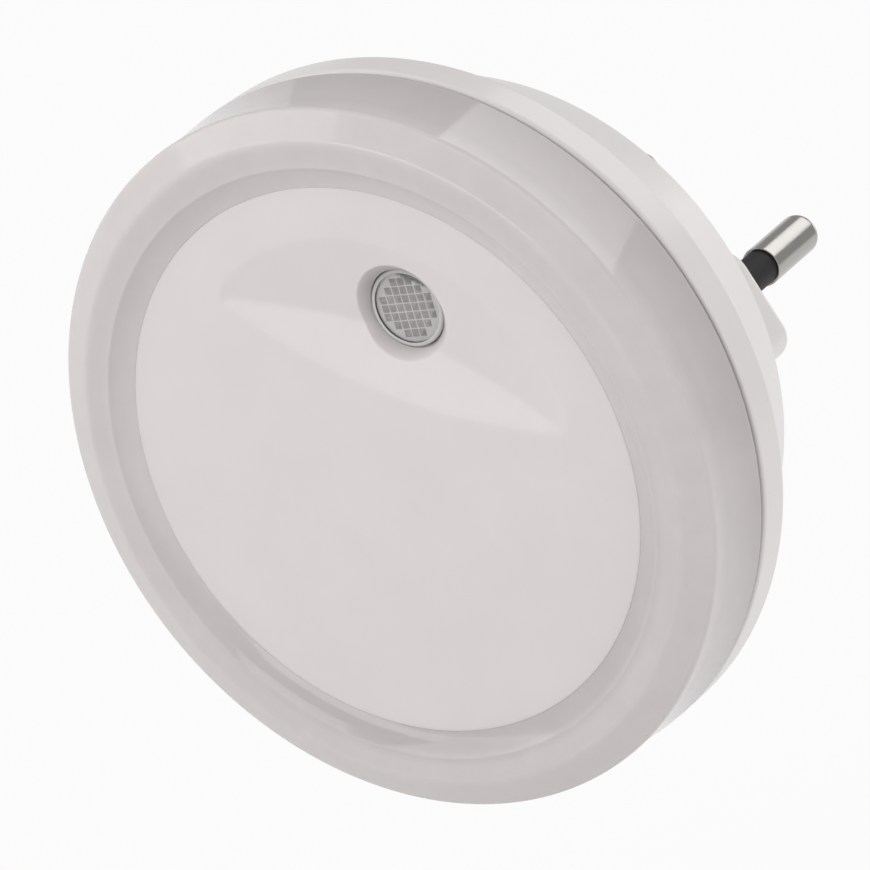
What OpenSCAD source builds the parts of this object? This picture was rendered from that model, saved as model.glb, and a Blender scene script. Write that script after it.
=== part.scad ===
// Round plug-in night light with a light sensor, for a two-pin wall socket.
// The origin is the centre of the plug boss's end face, which lies against the socket.
// +Y points into the wall, -Y out of the lit face, +Z up and +X to the right seen from the front.
// Each piece is drawn in a front view: x right, y up, z the height above the socket face.

/* [Rear housing] */
// Diameter of the round body, in mm
body_d = 68; // [66:0.5:74]
// Wall of the rear dish
wall = 2; // [1.6:0.1:2.4]
// Height of the straight rim wall behind the seam
rim_wall_h = 3.35; // [3:0.05:5]
// Height of the short slope behind the rim wall
slope_h = 3; // [2:0.1:4]
// Radius lost on the short slope
slope_in = 2.2; // [1.6:0.1:2.6]
// Height of the long taper from the slope to the back plate
taper_h = 8.2; // [7.6:0.1:10]
// Radius lost on the long taper
taper_in = 3.7; // [3:0.1:4.2]
// Rounding of the back plate's edge
back_round = 1.1; // [0.5:0.1:1.6]

/* [Plug boss] */
// Length of the boss from the back plate to the socket face
boss_len = 21.5; // [19:0.5:25]
// Width of the boss over its rounded sides
boss_w = 35.3; // [34.5:0.1:36.5]
// Height of the boss over its flats
boss_h = 13.7; // [13:0.1:14.5]
// Distance between the centres of the two upper corner roundings
boss_flat = 20.4; // [19:0.2:21.4]
// Radius of the rounded sides
boss_side_r = 2.4; // [2.2:0.1:2.8]
// Radius of the rounded corners
boss_corner_r = 3; // [2.6:0.1:3.4]
// Rounding of the boss's edge at the socket face
boss_round = 1.5; // [1:0.1:1.7]
// Wall of the boss
boss_wall = 1.8; // [1.4:0.1:1.9]
// Thickness of the boss's end wall
boss_end_t = 2; // [1.6:0.1:2.4]

/* [Pins] */
// Length of a pin from the socket face to its tip
pin_len = 19; // [18:0.5:20]
// Diameter of the bare contact end
pin_d = 4; // [3.94:0.02:4.06]
// Length of the bare contact end
pin_bare = 9; // [8:0.5:10]
// Rounding of the tip
pin_tip_round = 1.2; // [0.6:0.1:1.6]
// Distance between the two pin axes at the socket face
pin_spacing = 18.6; // [18:0.1:19.2]
// Distance between the two pin axes at the tips
pin_tip_spacing = 17.5; // [17:0.1:18]
// Diameter of the pin's core under the sleeve
pin_core_d = 2.6; // [2.2:0.1:2.8]
// Outer diameter of the insulating sleeve
sleeve_d = 3.5; // [3.3:0.1:3.6]
// Depth of the rim on the contact end that the sleeve enters
pin_lip = 0.4; // [0.2:0.1:0.8]
// Diameter of the sleeve's collar inside the boss
collar_d = 5.4; // [5:0.1:5.8]
// Thickness of the sleeve's collar
collar_t = 1.4; // [1:0.1:1.8]
// Diameter of the flange that anchors a pin in its carrier
anchor_d = 4; // [3.6:0.1:4.4]
// Thickness of that flange
anchor_t = 1; // [0.8:0.1:1.4]
// Length of the solder tail behind the flange
tail_len = 4.2; // [3.5:0.1:5]
// Diameter of the solder tail
tail_d = 2.4; // [2.2:0.1:2.8]
// Bore of the solder cup in the tail
cup_d = 1.3; // [1.1:0.1:1.5]
// Depth of the solder cup
cup_depth = 2.5; // [2:0.1:3]

/* [Pin carrier] */
// Thickness of the carrier block that holds both pins
carrier_t = 6; // [5.4:0.1:7]
// Distance from the middle to the inner side of a carrier leg
leg_x = 12.4; // [12.2:0.1:12.8]
// Distance from the middle to a carrier screw
ear_x = 19.5; // [19.2:0.1:20.5]
// Half the width of a carrier ear
ear_half_w = 3.2; // [2.6:0.1:3.4]
// Thickness of a carrier ear
ear_t = 1.8; // [1.4:0.1:2.2]
// Height of the posts under the ears
ear_post_h = 2.5; // [2.2:0.1:3]
// Diameter of the posts under the ears
ear_post_d = 4.4; // [4:0.1:4.8]

/* [Front cover] */
// Width of the ring seen round the cover
ring_face_w = 7.8; // [7.4:0.1:8.2]
// Thickness of the cover
cover_t = 1.8; // [1.6:0.1:2]
// Rise of the cover's middle over its edge
dome_h = 0.4; // [0.2:0.05:0.6]
// Radius of the scoop's upper edge
scoop_up_r = 19.3; // [18.8:0.1:19.8]
// Distance of the upper edge's highest point from the cover's rim
scoop_top_in = 5.1; // [4.8:0.1:5.6]
// Slope of the upper facet
scoop_up_slope = 0.18; // [0.15:0.01:0.2]
// Radius of the scoop's lower edge
scoop_low_r = 58.8; // [54:0.2:64]
// Height of the scoop from its lowest to its highest point
scoop_tall = 14.3; // [13.7:0.1:15.1]
// Slope of the lower facet
scoop_low_slope = 0.3; // [0.26:0.01:0.32]
// Height of the scoop's edges over the cover's rim
scoop_lift = 0.27; // [0.2:0.01:0.32]
// Radial thickness of a snap leg
snap_t = 1.5; // [1.2:0.1:1.8]
// Reach of a snap leg's hook
snap_reach = 0.9; // [0.6:0.1:1]
// Height of a snap leg's hook
snap_hook_h = 1; // [0.8:0.1:1.4]
// Angle that each snap leg spans
snap_span = 22; // [16:1:30]

/* [Light ring] */
// Height from the ring's base to the rim of the cover
ring_h = 7.6; // [7.2:0.1:9]
// Open seam between ring and housing
seam_gap = 0.35; // [0.2:0.05:0.5]
// Distance of the crest from the outside of the body
crest_in = 2.6; // [2.2:0.1:3]
// Rise of the crest over the cover's rim
crest_h = 1.3; // [1:0.1:1.6]
// Distance of the cove's upper edge from the outside of the body
brow_in = 5.4; // [5:0.1:5.8]
// Rise of the cove's upper edge over the cover's rim
brow_h = 0.95; // [0.7:0.05:1.2]
// Distance of the shoulder from the outside of the body
shoulder_in = 0.4; // [0.3:0.1:0.7]
// Rise of the shoulder over the cover's rim
shoulder_h = 0.1; // [0:0.1:0.4]
// Radius of the crown between crest and shoulder
crown_r = 12; // [9:0.5:20]
// Radius of the cove between the cover and the cove's upper edge
cove_r = 8; // [6:0.5:12]
// Depth of the cove's inner edge under the cover's rim
cove_drop = 0.4; // [0.2:0.05:0.7]
// Radius of the hollow curve of the side wall
side_r = 60; // [50:5:120]
// Wall of the ring
ring_wall = 2; // [1.6:0.1:2.2]
// Width of the ledge that the cover rests on
seat_w = 1.9; // [1.6:0.1:2.2]
// Thickness of that ledge
seat_t = 1.2; // [1:0.1:1.4]
// Length of the spigot that enters the housing
spigot_len = 3; // [2.6:0.1:3.2]
// Wall of the spigot
spigot_t = 1.5; // [1.2:0.1:1.7]
// Radius of the snap bead round the spigot
bead_r = 0.3; // [0.2:0.05:0.4]

/* [Sensor] */
// Distance of the sensor's middle from the cover's rim
sensor_in = 10.4; // [10:0.1:10.8]
// Diameter of the lens
lens_d = 7.4; // [7:0.1:7.8]
// Width of the rounded edge round the window
window_bevel = 0.65; // [0.4:0.05:0.8]
// Depth of the lens's front under the scoop's surface
lens_drop = 0.5; // [0.4:0.05:0.7]
// Thickness of the lens over its flange
lens_t = 1.4; // [1.2:0.1:1.6]
// Width of the lens's flange
lens_flange_w = 0.7; // [0.5:0.05:0.9]
// Thickness of the lens's flange
lens_flange_t = 0.8; // [0.6:0.1:1]
// Pitch of the waffle squares behind the lens
waffle_pitch = 0.8; // [0.7:0.05:1]
// Width of the grooves between the squares
waffle_groove = 0.25; // [0.2:0.05:0.3]
// Depth of those grooves
waffle_depth = 0.25; // [0.15:0.05:0.35]
// Turn of the waffle grid
waffle_turn = 17; // [0:1:45]
// Wall of the collar round the window, on the cover's inner side
window_collar_t = 1.05; // [0.8:0.05:1.2]
// Wall of the dark shroud between board and lens
shroud_t = 1.4; // [1:0.1:1.5]
// Diameter of the photocell
cell_d = 5.1; // [4.9:0.1:5.3]
// Thickness of the photocell
cell_t = 2.1; // [1.8:0.1:2.4]
// Distance between the photocell's leads
cell_pitch = 3.4; // [3:0.1:3.6]
// Air between photocell and lens
cell_gap = 0.3; // [0.2:0.1:0.6]

/* [Circuit] */
// Thickness of the circuit board
board_t = 1.6; // [1.2:0.2:1.6]
// Height of the posts that carry the board
post_h = 11.3; // [11.1:0.1:11.7]
// Diameter of those posts
post_d = 4.8; // [4.4:0.1:5.2]
// Air between the head of a board screw and the reflector
screw_margin = 1.9; // [1.4:0.1:2.4]
// Length of a light-emitting diode's package
led_l = 3.5; // [3:0.1:3.8]
// Width of that package
led_w = 2.8; // [2.4:0.1:2.9]
// Height of that package
led_h = 0.8; // [0.6:0.1:1]
// Wall of the reflector
reflector_t = 0.8; // [0.6:0.1:0.9]
// Thickness of the reflector's flange
reflector_flange_t = 0.6; // [0.5:0.1:0.8]
// Length of the dropper capacitor
cap_l = 13; // [12:0.5:14]
// Width of the dropper capacitor
cap_w = 6; // [5:0.5:6]
// Height of the dropper capacitor
cap_h = 10; // [9:0.5:10.5]
// Distance between its leads
cap_pitch = 10; // [9:0.5:11]
// Diameter of the smoothing capacitor
can_d = 8; // [6.3:0.1:8.2]
// Height of the smoothing capacitor
can_h = 9; // [7:0.5:10]
// Distance between its leads
can_pitch = 3.5; // [3:0.1:4]
// Length of the bridge rectifier
bridge_l = 8.5; // [8:0.1:9]
// Width of the bridge rectifier
bridge_w = 6.4; // [6:0.1:6.6]
// Height of the bridge rectifier
bridge_h = 3.2; // [2.8:0.1:3.6]
// Distance between its leads, along its length and across it
bridge_pitch = 5.1; // [4.9:0.1:5.3]
// Air between a wired component and the board post beside it
part_gap = 1.2; // [1:0.1:1.6]
// Diameter of the wires of all wired components
lead_d = 0.6; // [0.4:0.05:0.7]
// Length of those wires past the board
lead_over = 0.9; // [0.6:0.1:1.2]
// Diameter of the insulated leads from the pins
wire_d = 1.6; // [1.4:0.1:1.8]
// Length of the stripped end in the solder cup
strip_len = 2.2; // [1.8:0.1:2.4]

/* [Screws] */
// Thread diameter of the self-tapping screws
screw_d = 2.2; // [2:0.1:2.3]
// Head diameter
screw_head_d = 3.8; // [3.6:0.1:4]
// Head height
screw_head_h = 1.3; // [1.1:0.1:1.5]
// Thread length of the board screws
board_screw_len = 6.5; // [6:0.5:8]
// Thread length of the carrier screws
carrier_screw_len = 4; // [3.6:0.1:4.2]
// Length of the drill point at the end of a thread
screw_point = 0.8; // [0.6:0.1:1]

/* [Clearances] */
// Radial clearance between pieces that are pushed together
slip = 0.05; // [0.04:0.01:0.08]
// Clearance round the carrier and other loose fits
ease = 0.15; // [0.1:0.01:0.2]
// Clearance round a pin where it leaves the boss
pin_hole_gap = 0.1; // [0.1:0.01:0.15]

/* [Hidden] */
$fn = 96;
// Small overrun of a cutter past the face that it opens
over = 0.5;
// Steps of a round stretch in an outline
arc_steps = 6;
// Steps of the cover's domed section
dome_steps = 12;
// Steps of the rounding round the boss's end
end_steps = 4;

// Radii of the body's outline, from the rim to the back plate
rim_r = body_d / 2;
crease_r = rim_r - slope_in;
back_r = crease_r - taper_in;

// Heights above the socket face
floor_z = boss_len + wall;
crease_z = boss_len + taper_h;
rim_z = crease_z + slope_h;
seam_z = rim_z + rim_wall_h;
ring_z = seam_z + seam_gap;
ledge_z = ring_z - spigot_len;
face_z = ring_z + ring_h;
seat_z = face_z - cover_t;
seat_under_z = seat_z - seat_t;
board_z = floor_z + post_h;
board_top_z = board_z + board_t;
ear_z = floor_z + ear_post_h;
carrier_z = boss_end_t + ease;
block_z = carrier_z + carrier_t;

// Fit of the ring in the housing
bore_r = rim_r - wall;
spigot_r = bore_r - slip;
spigot_in_r = spigot_r - spigot_t;
bead_z = ring_z - spigot_len / 2;

// Fit of the cover in the ring
cover_r = rim_r - ring_face_w;
sensor_y = cover_r - sensor_in;
scoop_top_y = cover_r - scoop_top_in;
scoop_low_y = scoop_top_y - scoop_tall;
pocket_r = cover_r + slip;
seat_r = pocket_r - seat_w;
snap_r = seat_r - ease;
cove_in_r = pocket_r;

// Outline points of the ring's section, as radius and height
crest = [rim_r - crest_in, face_z + crest_h];
brow = [rim_r - brow_in, face_z + brow_h];
shoulder = [rim_r - shoulder_in, face_z + shoulder_h];
side_foot = [rim_r, ring_z];
cove_foot = [cove_in_r, face_z - cove_drop];

// Sensor stack, from the scoop's surface down to the board
sensor_surface_z = face_z + scoop_lift - scoop_up_slope * (scoop_top_y - sensor_y);
lens_front_z = sensor_surface_z - lens_drop;
lens_flange_z = lens_front_z - lens_t;
lens_back_z = lens_flange_z - lens_flange_t;
window_r = lens_d / 2 + slip;
lens_flange_r = lens_d / 2 + lens_flange_w;
shroud_r = lens_flange_r - slip;
cell_top_z = lens_back_z - cell_gap;
cell_z = cell_top_z - cell_t;

// Board outline and the ring of diodes outside the reflector's wall
board_r = spigot_in_r - 1;
reflector_in_r = snap_r + snap_reach + ease;
reflector_r = reflector_in_r + reflector_t;
reflector_rim_r = spigot_in_r - ease;
led_r = reflector_r + led_w / 2 + ease;
post_circle_r = reflector_in_r - screw_head_d / 2 - screw_margin;
led_angles = [90, 210, 330];
post_angles = [30, 150, 270];
snap_angles = [30, 150, 270];

// Pins: each leans in towards the other on its way to the tip
pin_x = pin_spacing / 2;
pin_tilt = asin((pin_spacing - pin_tip_spacing) / 2 / pin_len);
bare_start = pin_len - pin_bare;
collar_start = -(boss_end_t + ease + collar_t);
anchor_start = -(block_z - anchor_t);
tail_end = -(block_z + tail_len);

function turned(at, angle, d) = [at.x + d * cos(angle), at.y + d * sin(angle)];
function pair(at, angle, pitch) = [turned(at, angle, -pitch / 2), turned(at, angle, pitch / 2)];
function axial_pitch(body) = body[1] + 2 * axial_reach;
function from_middle(radius, angle) = turned([0, 0], angle, radius);

// Bodies of the wired components, as diameter and length, and how far their wires reach past them
axial_reach = 2.2;
fuse_body = [3.2, 8.5];
drain_body = [2.3, 6.3];
zener_body = [2.6, 4.6];
fet_r = 2.3;
fet_h = 4.6;
fet_stand = 1.6;
fet_pitch = 1.9;

// Middle of each wired component under the board, set by the boss's mouth and the board posts
mouth_y = boss_h / 2;
post_beside = from_middle(post_circle_r, 30);
cap_at = [0, mouth_y - boss_wall / 2 + cap_w / 2];
drain_at = [0, cap_at.y + cap_w / 2 + drain_body[0] / 2 + part_gap];
can_at = [-9.5, -mouth_y - can_d / 2 - 2 * part_gap];
bridge_at = [9.5, -mouth_y - bridge_w / 2 - 2 * part_gap];
fuse_at = [-post_beside.x + post_d / 2 + fuse_body[0] / 2 + part_gap, post_beside.y + 2];
fuse_turn = 90;
fet_at = [post_beside.x - post_d / 2 - fet_r - part_gap, post_beside.y + 3];
zener_at = [17.8, -3.4];
zener_turn = 90;

cap_sites = pair(cap_at, 0, cap_pitch);
can_sites = pair(can_at, 0, can_pitch);
bridge_sites = [for (sx = [-1, 1], sy = [-1, 1]) bridge_at + bridge_pitch / 2 * [sx, sy]];
fuse_sites = pair(fuse_at, fuse_turn, axial_pitch(fuse_body));
drain_sites = pair(drain_at, 0, axial_pitch(drain_body));
zener_sites = pair(zener_at, zener_turn, axial_pitch(zener_body));
fet_sites = [for (i = [-1:1]) [fet_at.x + i * fet_pitch, fet_at.y]];
cell_sites = pair([0, sensor_y], 0, cell_pitch);
wire_sites = [for (side = [-1, 1]) [side * (pin_x + board_z * tan(pin_tilt)), 0]];
lead_sites = concat(cap_sites, can_sites, bridge_sites, fuse_sites, drain_sites,
    zener_sites, fet_sites, cell_sites, wire_sites);
chip_sites = [[-6, -4, 0], [-1, -6, 90], [5, -4, 0], [9, 4, 90], [-10, 3, 90]];
chip_size = [2, 1.25, 0.5];
// Width and height of the well that lightens the pin carrier
carrier_well = [7, 5];
// Width, depth and pitch of the zigzag tracks on the photocell
track_w = 0.2;
track_depth = 0.1;
track_pitch = 0.66;

// Centre of the circle of radius r through p and q, on the left of the way from p to q
function circle_centre(p, q, r) =
    let (middle = (p + q) / 2, chord = norm(q - p), way = (q - p) / chord)
    middle + sqrt(r * r - chord * chord / 4) * [-way.y, way.x];

// Direction in which the outer tangent from a circle (c1, r1) on to a circle (c2, r2) faces
function tangent_angle(c1, r1, c2, r2) =
    let (d = c2 - c1) atan2(d.y, d.x) - acos((r1 - r2) / norm(d));

// Points along a round stretch from one angle to another
function arc(c, r, from, to) =
    [for (i = [0:arc_steps]) let (a = from + (to - from) * i / arc_steps) c + r * [cos(a), sin(a)]];

// Turns a piece from its front view to its place on the wall
module upright() {
    rotate([90, 0, 0]) children();
}

// Puts a piece on a pin's axis: z runs from the socket face towards the tip
module on_pin(side) {
    translate([side * pin_x, 0, 0]) rotate([0, side * pin_tilt, 0]) rotate([180, 0, 0]) children();
}

// Repeats a piece at each angle round the middle
module around(angles, radius) {
    for (angle = angles) rotate([0, 0, angle]) translate([radius, 0, 0]) children();
}

// Straight wires from a height below the board to just past its front
module board_leads(sites, from_z) {
    for (site = sites) {
        translate([site.x, site.y, from_z])
            cylinder(h = board_top_z + lead_over - from_z, d = lead_d, $fn = 24);
    }
}

// Outline of the boss, drawn in from its outside by the given distance
module boss_outline(inset) {
    side_c = [boss_w / 2 - boss_side_r, 0];
    corner_c = [boss_flat / 2, boss_h / 2 - boss_corner_r];
    side_now = boss_side_r - inset;
    corner_now = boss_corner_r - inset;
    flank = tangent_angle(side_c, side_now, corner_c, corner_now);
    quarter = concat(arc(side_c, side_now, 0, flank), arc(corner_c, corner_now, flank, 90));
    last = len(quarter) - 1;
    left = [for (i = [last:-1:1]) [-quarter[i].x, quarter[i].y]];
    upper = concat(quarter, left, [[-quarter[0].x, 0]]);
    lower = [for (i = [len(upper) - 2:-1:1]) [upper[i].x, -upper[i].y]];
    polygon(concat(upper, lower));
}

// The boss's outside, rounded towards the socket face
module boss_body() {
    hull() {
        for (i = [0:end_steps]) {
            turn = 90 * i / end_steps;
            rise = boss_round * (1 - sin(turn));
            translate([0, 0, rise]) linear_extrude(floor_z - rise) boss_outline(boss_round * (1 - cos(turn)));
        }
    }
}

// Section of the dish's outside, as radius and height
module dish_outline() {
    // The taper's lean from the axis, and the centre of the rounding between it and the back plate
    lean = atan2(taper_in, taper_h);
    taper_foot = crease_r - (taper_h - back_round) * tan(lean);
    round_c = [taper_foot - back_round / cos(lean), boss_len + back_round];
    polygon(concat(
        [[0, boss_len]], arc(round_c, back_round, -90, -lean),
        [[crease_r, crease_z], [rim_r, rim_z], [rim_r, seam_z], [0, seam_z]]
    ));
}

// Section of the dish's inside, with the ledge for the ring's spigot and the groove for its bead
module dish_inside() {
    under_r = crease_r - wall;
    polygon([
        [0, floor_z], [back_r - wall, floor_z], [under_r, crease_z], [under_r, ledge_z],
        [bore_r, ledge_z], [bore_r, seam_z + over], [0, seam_z + over],
    ]);
    translate([bore_r, bead_z]) circle(r = bead_r + slip, $fn = 32);
}

module rear_housing() {
    color("whitesmoke") upright() difference() {
        union() {
            difference() {
                union() {
                    rotate_extrude($fn = 180) dish_outline();
                    boss_body();
                }
                rotate_extrude($fn = 180) dish_inside();
                translate([0, 0, boss_end_t]) linear_extrude(floor_z) boss_outline(boss_wall);
            }
            around(post_angles, post_circle_r)
                translate([0, 0, floor_z - wall / 2]) cylinder(h = post_h + wall / 2, d = post_d);
            around([0, 180], ear_x)
                translate([0, 0, floor_z - wall / 2]) cylinder(h = ear_post_h + wall / 2, d = ear_post_d);
        }
        around(post_angles, post_circle_r)
            translate([0, 0, board_z + board_t - board_screw_len - ease]) screw_pilot(board_screw_len);
        around([0, 180], ear_x)
            translate([0, 0, ear_z + ear_t - carrier_screw_len - ease]) screw_pilot(carrier_screw_len);
        for (side = [-1, 1]) {
            on_pin(side) translate([0, 0, -boss_end_t - over])
                cylinder(h = boss_end_t + 2 * over, r = pin_d / 2 + pin_hole_gap);
        }
    }
}

// Blind hole for a screw's thread
module screw_pilot(length) {
    cylinder(h = length + over, d = screw_d + 2 * slip, $fn = 32);
}

// Self-tapping screw with its head's underside at z = 0
module screw(length) {
    difference() {
        union() {
            intersection() {
                cylinder(h = screw_head_h, d = screw_head_d, $fn = 48);
                translate([0, 0, screw_head_h - screw_head_d * 0.62]) sphere(r = screw_head_d * 0.62, $fn = 48);
            }
            translate([0, 0, screw_point - length]) cylinder(h = length - screw_point, d = screw_d, $fn = 32);
            translate([0, 0, -length]) cylinder(h = screw_point, d1 = screw_d / 4, d2 = screw_d, $fn = 32);
        }
        for (turn = [0, 90]) {
            rotate([0, 0, turn]) translate([-screw_d / 2, -screw_d / 8, screw_head_h * 0.45])
                cube([screw_d, screw_d / 4, screw_head_h]);
        }
    }
}

// The space that the scoop takes from the cover: two cones side by side, whose walls meet in a crease
module scoop_space(extra) {
    rise = 3;
    up_depth = scoop_up_r * scoop_up_slope;
    low_depth = scoop_low_r * scoop_low_slope;
    intersection() {
        translate([0, scoop_top_y - scoop_up_r, face_z + scoop_lift - up_depth])
            cylinder(h = up_depth + rise, r1 = extra, r2 = (up_depth + rise) / scoop_up_slope + extra, $fn = 180);
        translate([0, scoop_low_y + scoop_low_r, face_z + scoop_lift - low_depth])
            cylinder(h = low_depth + rise, r1 = extra, r2 = (low_depth + rise) / scoop_low_slope + extra, $fn = 256);
    }
}

// One snap leg of the cover, drawn at the angle 0
module snap_leg() {
    intersection() {
        rotate_extrude($fn = 180) polygon([
            [snap_r - snap_t, seat_z + cover_t / 2],
            [snap_r - snap_t, seat_under_z - snap_hook_h - slip],
            [snap_r, seat_under_z - snap_hook_h - slip],
            [snap_r + snap_reach, seat_under_z - slip],
            [snap_r, seat_under_z - slip],
            [snap_r, seat_z + cover_t / 2],
        ]);
        linear_extrude(face_z) polygon([
            [0, 0],
            from_middle(2 * cover_r, -snap_span / 2),
            from_middle(2 * cover_r, snap_span / 2),
        ]);
    }
}

module front_cover() {
    dome = [for (i = [0:dome_steps]) let (t = i / dome_steps) [t * cover_r, face_z + dome_h * (1 - t * t)]];
    collar_r = lens_flange_r + slip + window_collar_t;
    color("white") upright() difference() {
        union() {
            rotate_extrude($fn = 180) polygon(concat(dome, [[cover_r, seat_z], [0, seat_z]]));
            intersection() {
                translate([0, 0, -cover_t]) scoop_space(0);
                cylinder(h = face_z - over, r = snap_r - snap_t, $fn = 180);
            }
            for (angle = snap_angles) rotate([0, 0, angle]) snap_leg();
            translate([0, sensor_y, lens_back_z + slip])
                cylinder(h = sensor_surface_z - lens_back_z, r = collar_r);
        }
        scoop_space(0);
        translate([0, sensor_y, 0]) {
            cylinder(h = face_z + over, r = window_r);
            cylinder(h = lens_flange_z, r = lens_flange_r + slip);
            translate([0, 0, sensor_surface_z - window_bevel])
                cylinder(h = 3 * window_bevel, r1 = window_r, r2 = window_r + 3 * window_bevel);
        }
    }
}

// Section of the light ring: crown, brow, cove and side wall outside, and the ledge for the cover
module ring_outline() {
    crown_c = circle_centre(shoulder, crest, crown_r);
    cove_c = circle_centre(cove_foot, brow, cove_r);
    side_c = circle_centre(shoulder, side_foot, side_r);
    difference() {
        union() {
            intersection() {
                translate([crest.x, ring_z]) square([crest_in, ring_h + crest_h]);
                translate(crown_c) circle(r = crown_r, $fn = 180);
            }
            difference() {
                polygon([[seat_r, seat_under_z], [crest.x, seat_under_z], crest, brow, [seat_r, brow.y]]);
                translate([cove_in_r - cover_r, seat_z]) square([cover_r, ring_h]);
                translate(cove_c) circle(r = cove_r, $fn = 180);
            }
            translate([spigot_in_r, ledge_z]) square([spigot_t, spigot_len + over]);
            translate([spigot_r, bead_z]) circle(r = bead_r, $fn = 32);
        }
        translate(side_c) circle(r = side_r, $fn = 256);
        ring_hollow();
    }
}

// Hollow behind the ring's crown, where the light of the diodes spreads
module ring_hollow() {
    out_r = rim_r - shoulder_in - ring_wall;
    polygon([
        [spigot_in_r, ledge_z - over], [spigot_in_r, ring_z], [out_r, ring_z + 1],
        [out_r, shoulder.y - ring_wall], [crest.x, crest.y - ring_wall], [brow.x, brow.y - ring_wall],
        [cove_in_r + seat_t, seat_under_z], [cove_in_r + seat_t, ledge_z - over],
    ]);
}

module light_ring() {
    color("gainsboro") upright() rotate_extrude($fn = 180) ring_outline();
}

module sensor_lens() {
    lines = ceil(lens_d / waffle_pitch / 2);
    color("lightgrey") upright() translate([0, sensor_y, 0]) difference() {
        union() {
            translate([0, 0, lens_back_z]) cylinder(h = lens_front_z - lens_back_z, d = lens_d);
            translate([0, 0, lens_back_z]) cylinder(h = lens_flange_t, r = lens_flange_r);
        }
        rotate([0, 0, waffle_turn]) intersection() {
            translate([0, 0, lens_back_z - over]) cylinder(h = over + waffle_depth, r = lens_d / 2 - waffle_pitch / 2);
            for (turn = [0, 90]) {
                rotate([0, 0, turn]) for (i = [-lines:lines]) {
                    translate([i * waffle_pitch - waffle_groove / 2, -lens_d / 2, lens_back_z - over])
                        cube([waffle_groove, lens_d, over + waffle_depth]);
                }
            }
        }
    }
}

module sensor_shroud() {
    color("dimgrey") upright() translate([0, sensor_y, board_top_z]) difference() {
        cylinder(h = lens_back_z - board_top_z, r = shroud_r);
        translate([0, 0, -over]) cylinder(h = lens_back_z - board_top_z + 2 * over, r = shroud_r - shroud_t);
    }
}

module photocell() {
    flat_h = cell_d * 0.84;
    track_l = cell_d * 0.6;
    color("peru") upright() translate([0, sensor_y, cell_z]) difference() {
        intersection() {
            cylinder(h = cell_t, d = cell_d);
            translate([-cell_d / 2, -flat_h / 2, 0]) cube([cell_d, flat_h, cell_t]);
        }
        for (i = [-2:2]) {
            translate([(i % 2 == 0 ? -track_w : track_w) - track_l / 2, i * track_pitch - track_w / 2, cell_t - track_depth])
                cube([track_l, track_w, 1]);
        }
    }
}

module photocell_leads() {
    color("silver") upright() for (site = cell_sites) {
        translate([site.x, site.y, board_z]) cylinder(h = cell_z - board_z, d = lead_d, $fn = 24);
    }
}

module reflector() {
    color("white") upright() difference() {
        rotate_extrude($fn = 180) polygon([
            [reflector_in_r, board_top_z], [reflector_rim_r, board_top_z],
            [reflector_rim_r, board_top_z + reflector_flange_t],
            [reflector_r + reflector_flange_t, board_top_z + reflector_flange_t],
            [reflector_r, board_top_z + 2 * reflector_flange_t],
            [reflector_r, seat_under_z], [reflector_in_r, seat_under_z],
        ]);
        around(led_angles, led_r) translate([-led_w / 2 - ease, -led_l / 2 - ease, board_top_z - over])
            cube([led_w + 2 * ease, led_l + 2 * ease, over + 3 * reflector_flange_t]);
    }
}

module circuit_board() {
    color("seagreen") upright() translate([0, 0, board_z]) difference() {
        cylinder(h = board_t, r = board_r, $fn = 180);
        around(post_angles, post_circle_r)
            translate([0, 0, -over]) cylinder(h = board_t + 2 * over, r = screw_d / 2 + ease, $fn = 32);
        for (site = lead_sites) {
            translate([site.x, site.y, -over]) cylinder(h = board_t + 2 * over, r = lead_d / 2 + ease, $fn = 24);
        }
    }
}

module board_screws() {
    color("silver") upright() around(post_angles, post_circle_r)
        translate([0, 0, board_top_z]) screw(board_screw_len);
}

module leds() {
    color("lightyellow") upright() around(led_angles, led_r) translate([0, 0, board_top_z]) difference() {
        translate([-led_w / 2, -led_l / 2, 0]) cube([led_w, led_l, led_h]);
        translate([0, 0, led_h / 2]) cylinder(h = led_h, d1 = led_w * 0.6, d2 = led_w * 0.95, $fn = 32);
    }
}

module chip_resistors() {
    color("black") upright() for (site = chip_sites) {
        translate([site.x, site.y, board_top_z]) rotate([0, 0, site.z])
            translate([-chip_size.x / 2, -chip_size.y / 2, 0]) cube(chip_size);
    }
}

module dropper_capacitor() {
    color("gold") upright() union() {
        translate([cap_at.x - cap_l / 2, cap_at.y - cap_w / 2, board_z - cap_h]) cube([cap_l, cap_w, cap_h]);
        board_leads(cap_sites, board_z - 1);
    }
}

module smoothing_capacitor() {
    groove = 0.4;
    color("midnightblue") upright() union() {
        translate([can_at.x, can_at.y, board_z - can_h]) rotate_extrude() difference() {
            square([can_d / 2, can_h]);
            translate([can_d / 2 + groove / 2, can_h - 1.4]) circle(r = groove, $fn = 32);
            translate([0, -groove / 2]) square([can_d / 2 - 2 * groove, groove]);
        }
        board_leads(can_sites, board_z - 1);
    }
}

module bridge_rectifier() {
    color("black") upright() union() {
        translate([bridge_at.x - bridge_l / 2, bridge_at.y - bridge_w / 2, board_z - bridge_h])
            cube([bridge_l, bridge_w, bridge_h]);
        board_leads(bridge_sites, board_z - 1);
    }
}

// Component lying under the board on its two bent leads, seated on the board
module axial(at, angle, body) {
    drop = body[0] / 2;
    pitch = axial_pitch(body);
    union() {
        translate([at.x, at.y, board_z - drop]) rotate([0, 0, angle]) rotate([0, 90, 0]) {
            cylinder(h = body[1], d = body[0], center = true, $fn = 48);
            cylinder(h = pitch, d = lead_d, center = true, $fn = 24);
        }
        for (site = pair(at, angle, pitch)) translate([site.x, site.y, board_z - drop]) sphere(d = lead_d, $fn = 24);
        board_leads(pair(at, angle, pitch), board_z - drop);
    }
}

module fusible_resistor() {
    color("seashell") upright() axial(fuse_at, fuse_turn, fuse_body);
}

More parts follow.
